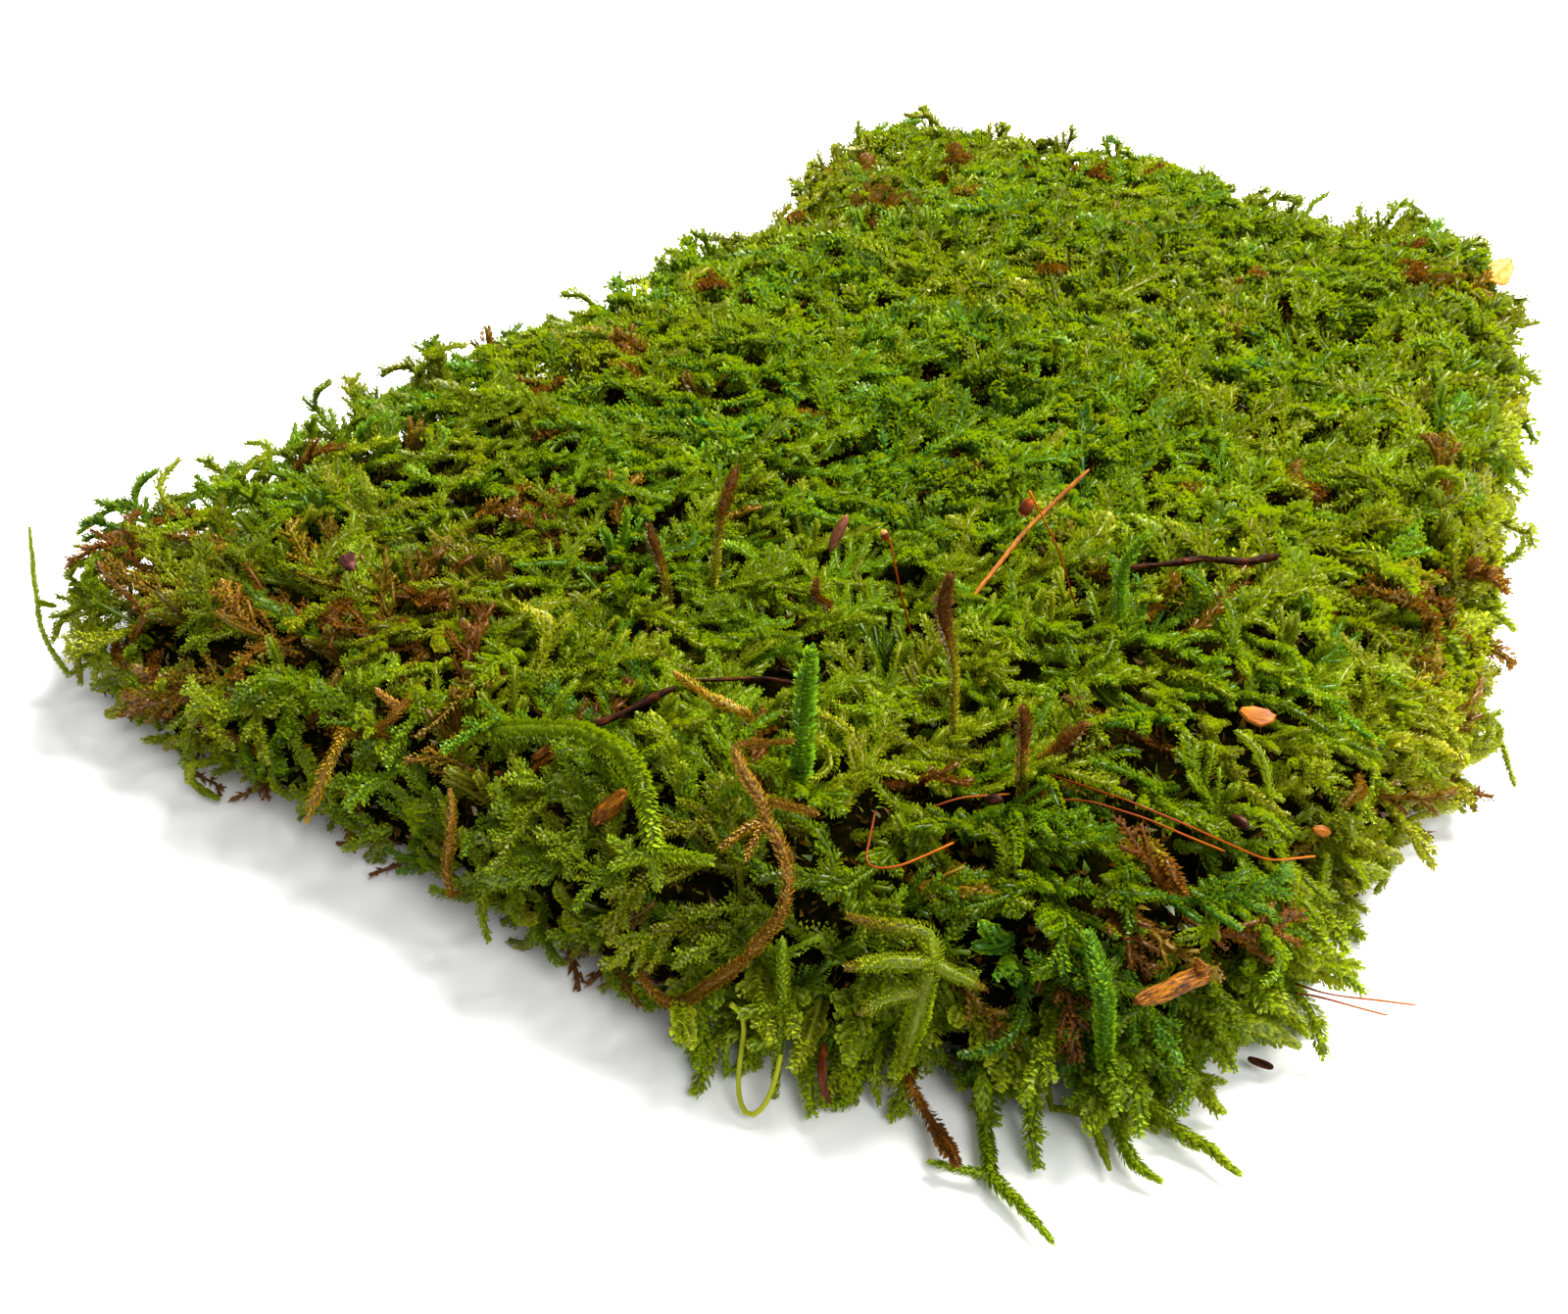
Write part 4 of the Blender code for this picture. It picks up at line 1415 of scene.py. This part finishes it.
def capsule_template():
    bpy.ops.object.select_all(action="DESELECT")
    bpy.ops.mesh.primitive_uv_sphere_add(
        segments=CAPSULE_SIDES, ring_count=12, radius=0.5, location=(0, 0, 0)
    )
    urn = bpy.context.active_object
    bpy.ops.object.mode_set(mode="EDIT")
    bpy.ops.mesh.select_all(action="SELECT")
    bpy.ops.transform.resize(value=(0.62, 0.62, 1.0))
    bpy.ops.mesh.select_all(action="DESELECT")
    bpy.ops.object.mode_set(mode="OBJECT")
    for v in urn.data.vertices:
        v.select = v.co.z > 0.44
    bpy.ops.object.mode_set(mode="EDIT")
    bpy.ops.transform.translate(value=(0, 0, -0.12))
    bpy.ops.mesh.select_all(action="DESELECT")
    bpy.ops.mesh.select_mode(type="FACE")
    bpy.ops.object.mode_set(mode="OBJECT")
    for f in urn.data.polygons:
        turn = math.atan2(f.center.y, f.center.x) / math.tau * CAPSULE_SIDES
        lip = f.center.z > 0.3 and 0.1 < math.hypot(f.center.x, f.center.y) < 0.14
        f.select = lip and round(turn) % 2 == 0
    bpy.ops.object.mode_set(mode="EDIT")
    bpy.ops.mesh.extrude_region_shrink_fatten(TRANSFORM_OT_shrink_fatten={"value": 0.07})
    bpy.ops.mesh.select_all(action="SELECT")
    bpy.ops.mesh.normals_make_consistent(inside=False)
    bpy.ops.mesh.select_mode(type="VERT")
    bpy.ops.object.mode_set(mode="OBJECT")
    bm = bmesh.new()
    bm.from_mesh(urn.data)
    bm.faces.sort(key=in_order)
    bm.to_mesh(urn.data)
    bm.free()
    mesh = urn.data.copy()
    bpy.data.objects.remove(urn)
    return mesh


CAPSULE = capsule_template()
print("capsule template:", len(CAPSULE.polygons), "faces")


# %% the capsule's material
def capsule_material():
    g = Graph("capsule_brown", roughness=0.4, specular=0.15)
    where = g.mark("own_place")
    height = g.node("ShaderNodeSeparateXYZ", {}, {0: where}, "Z")
    speckle = g.noise(5, 3, vector=where)
    tone = g.ramp(
        height + 0.5 + (speckle - 0.5) * 0.25,
        [
            (0.0, rgb(170, 84, 12)),
            (0.25, rgb(112, 44, 6)),
            (0.7, rgb(76, 26, 4)),
            (0.86, rgb(206, 150, 80)),
        ],
    )
    g.set(Base_Color=tone)
    g.bump(speckle, 0.4, 0.08 * MM)
    return g.material


CAPSULE_LOOK = capsule_material()


# %% the capsules on their stalks
def capsule_on(node):
    """A copy of the capsule where the solid swells at the end of its stalk."""
    corners, _, _ = welded(node)
    path = LINES[node][0][0]
    away = np.min(np.linalg.norm(corners[:, None] - path[None], axis=2), axis=1)
    ends = [
        corners[(away > 0.3) & (np.linalg.norm(corners - end, axis=1) < 3.2)]
        for end in (path[0], path[-1])
    ]
    far = max(ends, key=len)
    tip = path[0] if len(ends[0]) > len(ends[1]) else path[-1]
    centre = (far.min(0) + far.max(0)) / 2
    axis = np.linalg.svd(far - far.mean(0))[2][0]
    own = far - far.mean(0)
    if np.dot(centre - tip, axis) < 0:
        axis = -axis
    long = float(np.ptp(own @ axis))
    mesh = CAPSULE.copy()
    made = bpy.data.objects.new("look_capsule_" + node.split("_")[1], mesh)
    bpy.context.scene.collection.objects.link(made)
    place = np.array([v.co[:] for v in mesh.vertices])
    mark = mesh.attributes.new("own_place", "FLOAT_VECTOR", "POINT")
    mark.data.foreach_set("vector", place.ravel())
    turn = Vector(axis).to_track_quat("Z", "Y").to_matrix()
    for v in mesh.vertices:
        v.co = (Vector(centre) + turn @ (v.co * long)) * MM
    mesh.materials.clear()
    mesh.materials.append(CAPSULE_LOOK)
    mesh.shade_smooth()
    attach(made, "root")
    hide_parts(node)
    print(made.name, "long", round(long, 2), "mm")
    return made


for node in ("seta_nodding", "seta_upright"):
    loose.append(capsule_on(node))

# %% [markdown]
# ## Wood, twigs, scales and seeds
#
# These are the stray bits that a clump of moss catches: splinters of rotten wood, thin twigs,
# bud scales, seeds and scraps of leaf. Each could be modelled again, but its solid already has
# its form. So a copy is welded, subdivided, roughened a little, and given a grain that runs
# along its length. A scale or a leaf scrap is also cupped, and a splinter tapers to its ends.


# %% copies of solids with a grain
def grown_copy(node, levels, rough, scale, cup=0.0, taper=0.0):
    """A softened, roughened copy of a solid, which carries its own place along its length."""
    corners, faces, _ = welded(node)
    middle = corners.mean(0)
    frame_axes = np.linalg.svd(corners - middle)[2]
    half_long = np.abs((corners - middle) @ frame_axes[0]).max()
    mesh = bpy.data.meshes.new("look_" + node)
    mesh.from_pydata([tuple(p * MM) for p in corners], [], faces.tolist())
    mesh.update()
    made = bpy.data.objects.new("look_" + node, mesh)
    bpy.context.scene.collection.objects.link(made)
    bpy.ops.object.select_all(action="DESELECT")
    made.select_set(True)
    bpy.context.view_layer.objects.active = made
    if levels:
        soft = made.modifiers.new("soft", "SUBSURF")
        soft.levels = soft.render_levels = levels
        soft.subdivision_type = "SIMPLE" if cup else "CATMULL_CLARK"
        bpy.ops.object.modifier_apply(modifier="soft")
    mesh = made.data
    mesh.update()
    outward = [v.normal.copy() for v in mesh.vertices]
    for v, n in zip(mesh.vertices, outward):
        own = frame_axes @ (np.array(v.co) / MM - middle)
        thinner = taper * min(1.0, abs(own[0]) / half_long) ** 2
        v.co -= Vector((frame_axes[1] * own[1] + frame_axes[2] * own[2]) * thinner * MM)
        spot = Vector((own[0] * 0.25, own[1], own[2])) * scale
        v.co += n * (noise.noise(spot) * rough * MM)
        v.co += Vector(frame_axes[2]) * (cup * own[0] ** 2 * MM)
    places = np.array([v.co[:] for v in mesh.vertices]) / MM - middle
    mark = mesh.attributes.new("own_place", "FLOAT_VECTOR", "POINT")
    mark.data.foreach_set("vector", (places @ frame_axes.T).ravel())
    mesh.shade_smooth()
    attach(made, "root")
    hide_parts(node)
    return made


# %% a grained material
def grain_material(name, stops, roughness, specular, across=9.0, along=1.2, bump=0.5, glow=None):
    """Fine noise drawn out along the piece, so that it looks like fibres."""
    g = Graph(name, roughness=roughness, specular=specular)
    where = g.mark("own_place")
    sockets = {"Vector": where, "Scale": (along, across, across)}
    stretched = g.node("ShaderNodeMapping", {}, sockets)
    fibre = g.noise(1.0, 5, 0.65, vector=stretched)
    patch = g.noise(0.9, 2, 0.5, vector=where)
    tone = g.ramp(fibre * 0.7 + patch * 0.3, stops)
    g.set(Base_Color=tone)
    g.bump(fibre, bump, 0.12 * MM)
    if glow:
        g.glow_through(glow[0], glow[1])
    return g.material


LOOKS = {
    "twig_bark": grain_material(
        "twig_bark",
        [(0.36, rgb(6, 2, 0)), (0.5, rgb(34, 13, 2)), (0.66, rgb(98, 46, 10))],
        0.6,
        0.06,
    ),
    "wood": grain_material(
        "wood_split",
        [(0.38, rgb(16, 7, 1)), (0.48, rgb(92, 50, 6)), (0.62, rgb(176, 112, 22))],
        0.55,
        0.08,
    ),
    "straw": grain_material(
        "stalk_straw",
        [(0.34, rgb(70, 32, 4)), (0.5, rgb(146, 84, 12)), (0.66, rgb(196, 130, 30))],
        0.5,
        0.15,
    ),
    "husk": grain_material(
        "husk_orange",
        [(0.3, rgb(92, 42, 4)), (0.5, rgb(138, 76, 10)), (0.68, rgb(172, 112, 26))],
        0.42,
        0.1,
        5.0,
        0.6,
        0.35,
    ),
    "leaf_orange": grain_material(
        "leaf_orange",
        [(0.3, rgb(190, 90, 16)), (0.5, rgb(232, 150, 40)), (0.68, rgb(250, 206, 110))],
        0.5,
        0.4,
        4.0,
        0.6,
        0.3,
        (0.4, rgb(240, 160, 40)),
    ),
    "purple": grain_material(
        "leaf_purple",
        [(0.3, rgb(22, 6, 6)), (0.5, rgb(58, 22, 20)), (0.68, rgb(112, 60, 52))],
        0.5,
        0.15,
        4.0,
        0.8,
    ),
    "red": grain_material(
        "leaf_red",
        [(0.3, rgb(28, 10, 2)), (0.5, rgb(84, 32, 4)), (0.68, rgb(140, 64, 14))],
        0.45,
        0.15,
        4.0,
        0.8,
    ),
    "pink": grain_material(
        "bud_pink",
        [(0.3, rgb(58, 26, 12)), (0.5, rgb(112, 62, 38)), (0.68, rgb(156, 104, 74))],
        0.5,
        0.15,
        5.0,
        0.8,
    ),
    "seed": grain_material(
        "seed_dark",
        [(0.3, rgb(10, 4, 1)), (0.5, rgb(36, 13, 4)), (0.68, rgb(84, 38, 12))],
        0.35,
        0.14,
        4.0,
        1.4,
    ),
}
# %% the stray bits
# name: look, slot, subdivisions, roughness in mm, its scale, and then cup and taper
SOLIDS = {
    "twig_dark_long": ("twig_bark", "twig_bark", 2, 0.2, 1.4),
    "twig_dark_fine": ("twig_bark", "twig_bark", 2, 0.06, 2.0),
    "twig_back_dark": ("twig_bark", "twig_bark", 3, 0.3, 1.2),
    "needle_dark_corner": ("twig_bark", "twig_bark", 2, 0.04, 2.0),
    "stalk_orange": ("straw", "stalk_straw", 2, 0.06, 1.6),
    "wood_sliver_front": ("wood", "twig_bark", 3, 0.3, 1.5, 0.002, 0.62),
    "wood_sliver_left": ("wood", "twig_bark", 3, 0.3, 1.5, 0.002, 0.62),
    "wood_sliver_far_left": ("wood", "twig_bark", 3, 0.3, 1.5, 0.002, 0.62),
    "bud_scale_orange": ("husk", "husk_orange", 3, 0.1, 1.2, 0.12),
    "bud_scale_small": ("husk", "husk_orange", 3, 0.08, 1.4, 0.12),
    "bud_spindle_pink": ("pink", "leaf_red", 3, 0.12, 1.2),
    "leaf_scrap_purple": ("purple", "leaf_purple", 3, 0.14, 1.2, 0.1),
    "leaf_scrap_red": ("red", "leaf_red", 3, 0.14, 1.2, 0.1),
    "leaf_fragment_corner": ("leaf_orange", "husk_orange", 3, 0.3, 0.9, 0.05),
    "seed_dark": ("seed", "seed_brown", 3, 0.08, 1.4),
    "seed_brown": ("seed", "seed_brown", 3, 0.08, 1.4),
}
for node, (look, slot, levels, rough, scale, *cup) in SOLIDS.items():
    made = grown_copy(node, levels, rough, scale, *cup)
    made.data.materials.append(LOOKS[look])
    loose.append(made)
    print(made.name, len(made.data.polygons), "faces")

# %% [markdown]
# ## Stage, light and camera
#
# The clump lies on a plain pale floor. The light is soft: a wide lamp above and behind gives
# the bright edges and the soft shadow in front, and a weak one at the front right and the white
# room fill in the rest. A sky picture could light it too, but two lamps are easier to place.
# The camera stands where the photographer's did, about 18 cm from the middle of the clump, and
# looks down at 35 degrees.

# %% floor
bpy.ops.mesh.primitive_plane_add(size=6, location=(0, 0, -0.0002))
floor = bpy.context.active_object
floor.name = "floor"
g = Graph("floor_pale", roughness=0.9, specular=0.1)
g.set(Base_Color=(0.95, 0.95, 0.95))
floor.data.materials.append(g.material)
floor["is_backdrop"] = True


# %% lights
def area_light(name, place, size, power, colour):
    lamp = bpy.data.lights.new(name, "AREA")
    lamp.shape, lamp.size, lamp.energy, lamp.color = "DISK", size, power, colour
    made = bpy.data.objects.new(name, lamp)
    made.location = place
    made.rotation_euler = (-Vector(place)).to_track_quat("-Z", "Y").to_euler()
    bpy.context.scene.collection.objects.link(made)
    return made


area_light("light_behind", (0.14, 0.34, 0.58), 0.42, 17.5, (1.0, 0.98, 0.93))
area_light("light_front", (0.4, -0.3, 0.55), 0.4, 2.8, (1.0, 1.0, 1.0))
world = bpy.data.worlds.new("white_room")
world.use_nodes = True
world.node_tree.nodes["Background"].inputs[0].default_value = (1, 1, 1, 1)
world.node_tree.nodes["Background"].inputs[1].default_value = 0.42
bpy.context.scene.world = world
bpy.context.scene.view_settings.view_transform = "Standard"

# %% camera
lens = bpy.data.cameras.new("camera")
lens.lens = LENS_MM
lens.sensor_width = SENSOR_MM
lens.clip_start = 0.01
camera = bpy.data.objects.new("camera", lens)
camera.location = Vector(CAMERA_AT) * MM
camera.rotation_euler = [math.radians(turn) for turn in CAMERA_TURN]
bpy.context.scene.collection.objects.link(camera)
bpy.context.scene.camera = camera

# %% sizes, for the record
bounds_at_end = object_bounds()


def plain(value):
    if isinstance(value, dict):
        return {str(k): plain(v) for k, v in value.items()}
    if isinstance(value, (list, tuple)) or hasattr(value, "__len__") and not isinstance(value, str):
        return [plain(v) for v in value]
    return value if isinstance(value, (str, int, type(None))) else float(value)


{"at_load": plain(bounds_at_load), "at_end": plain(bounds_at_end)}
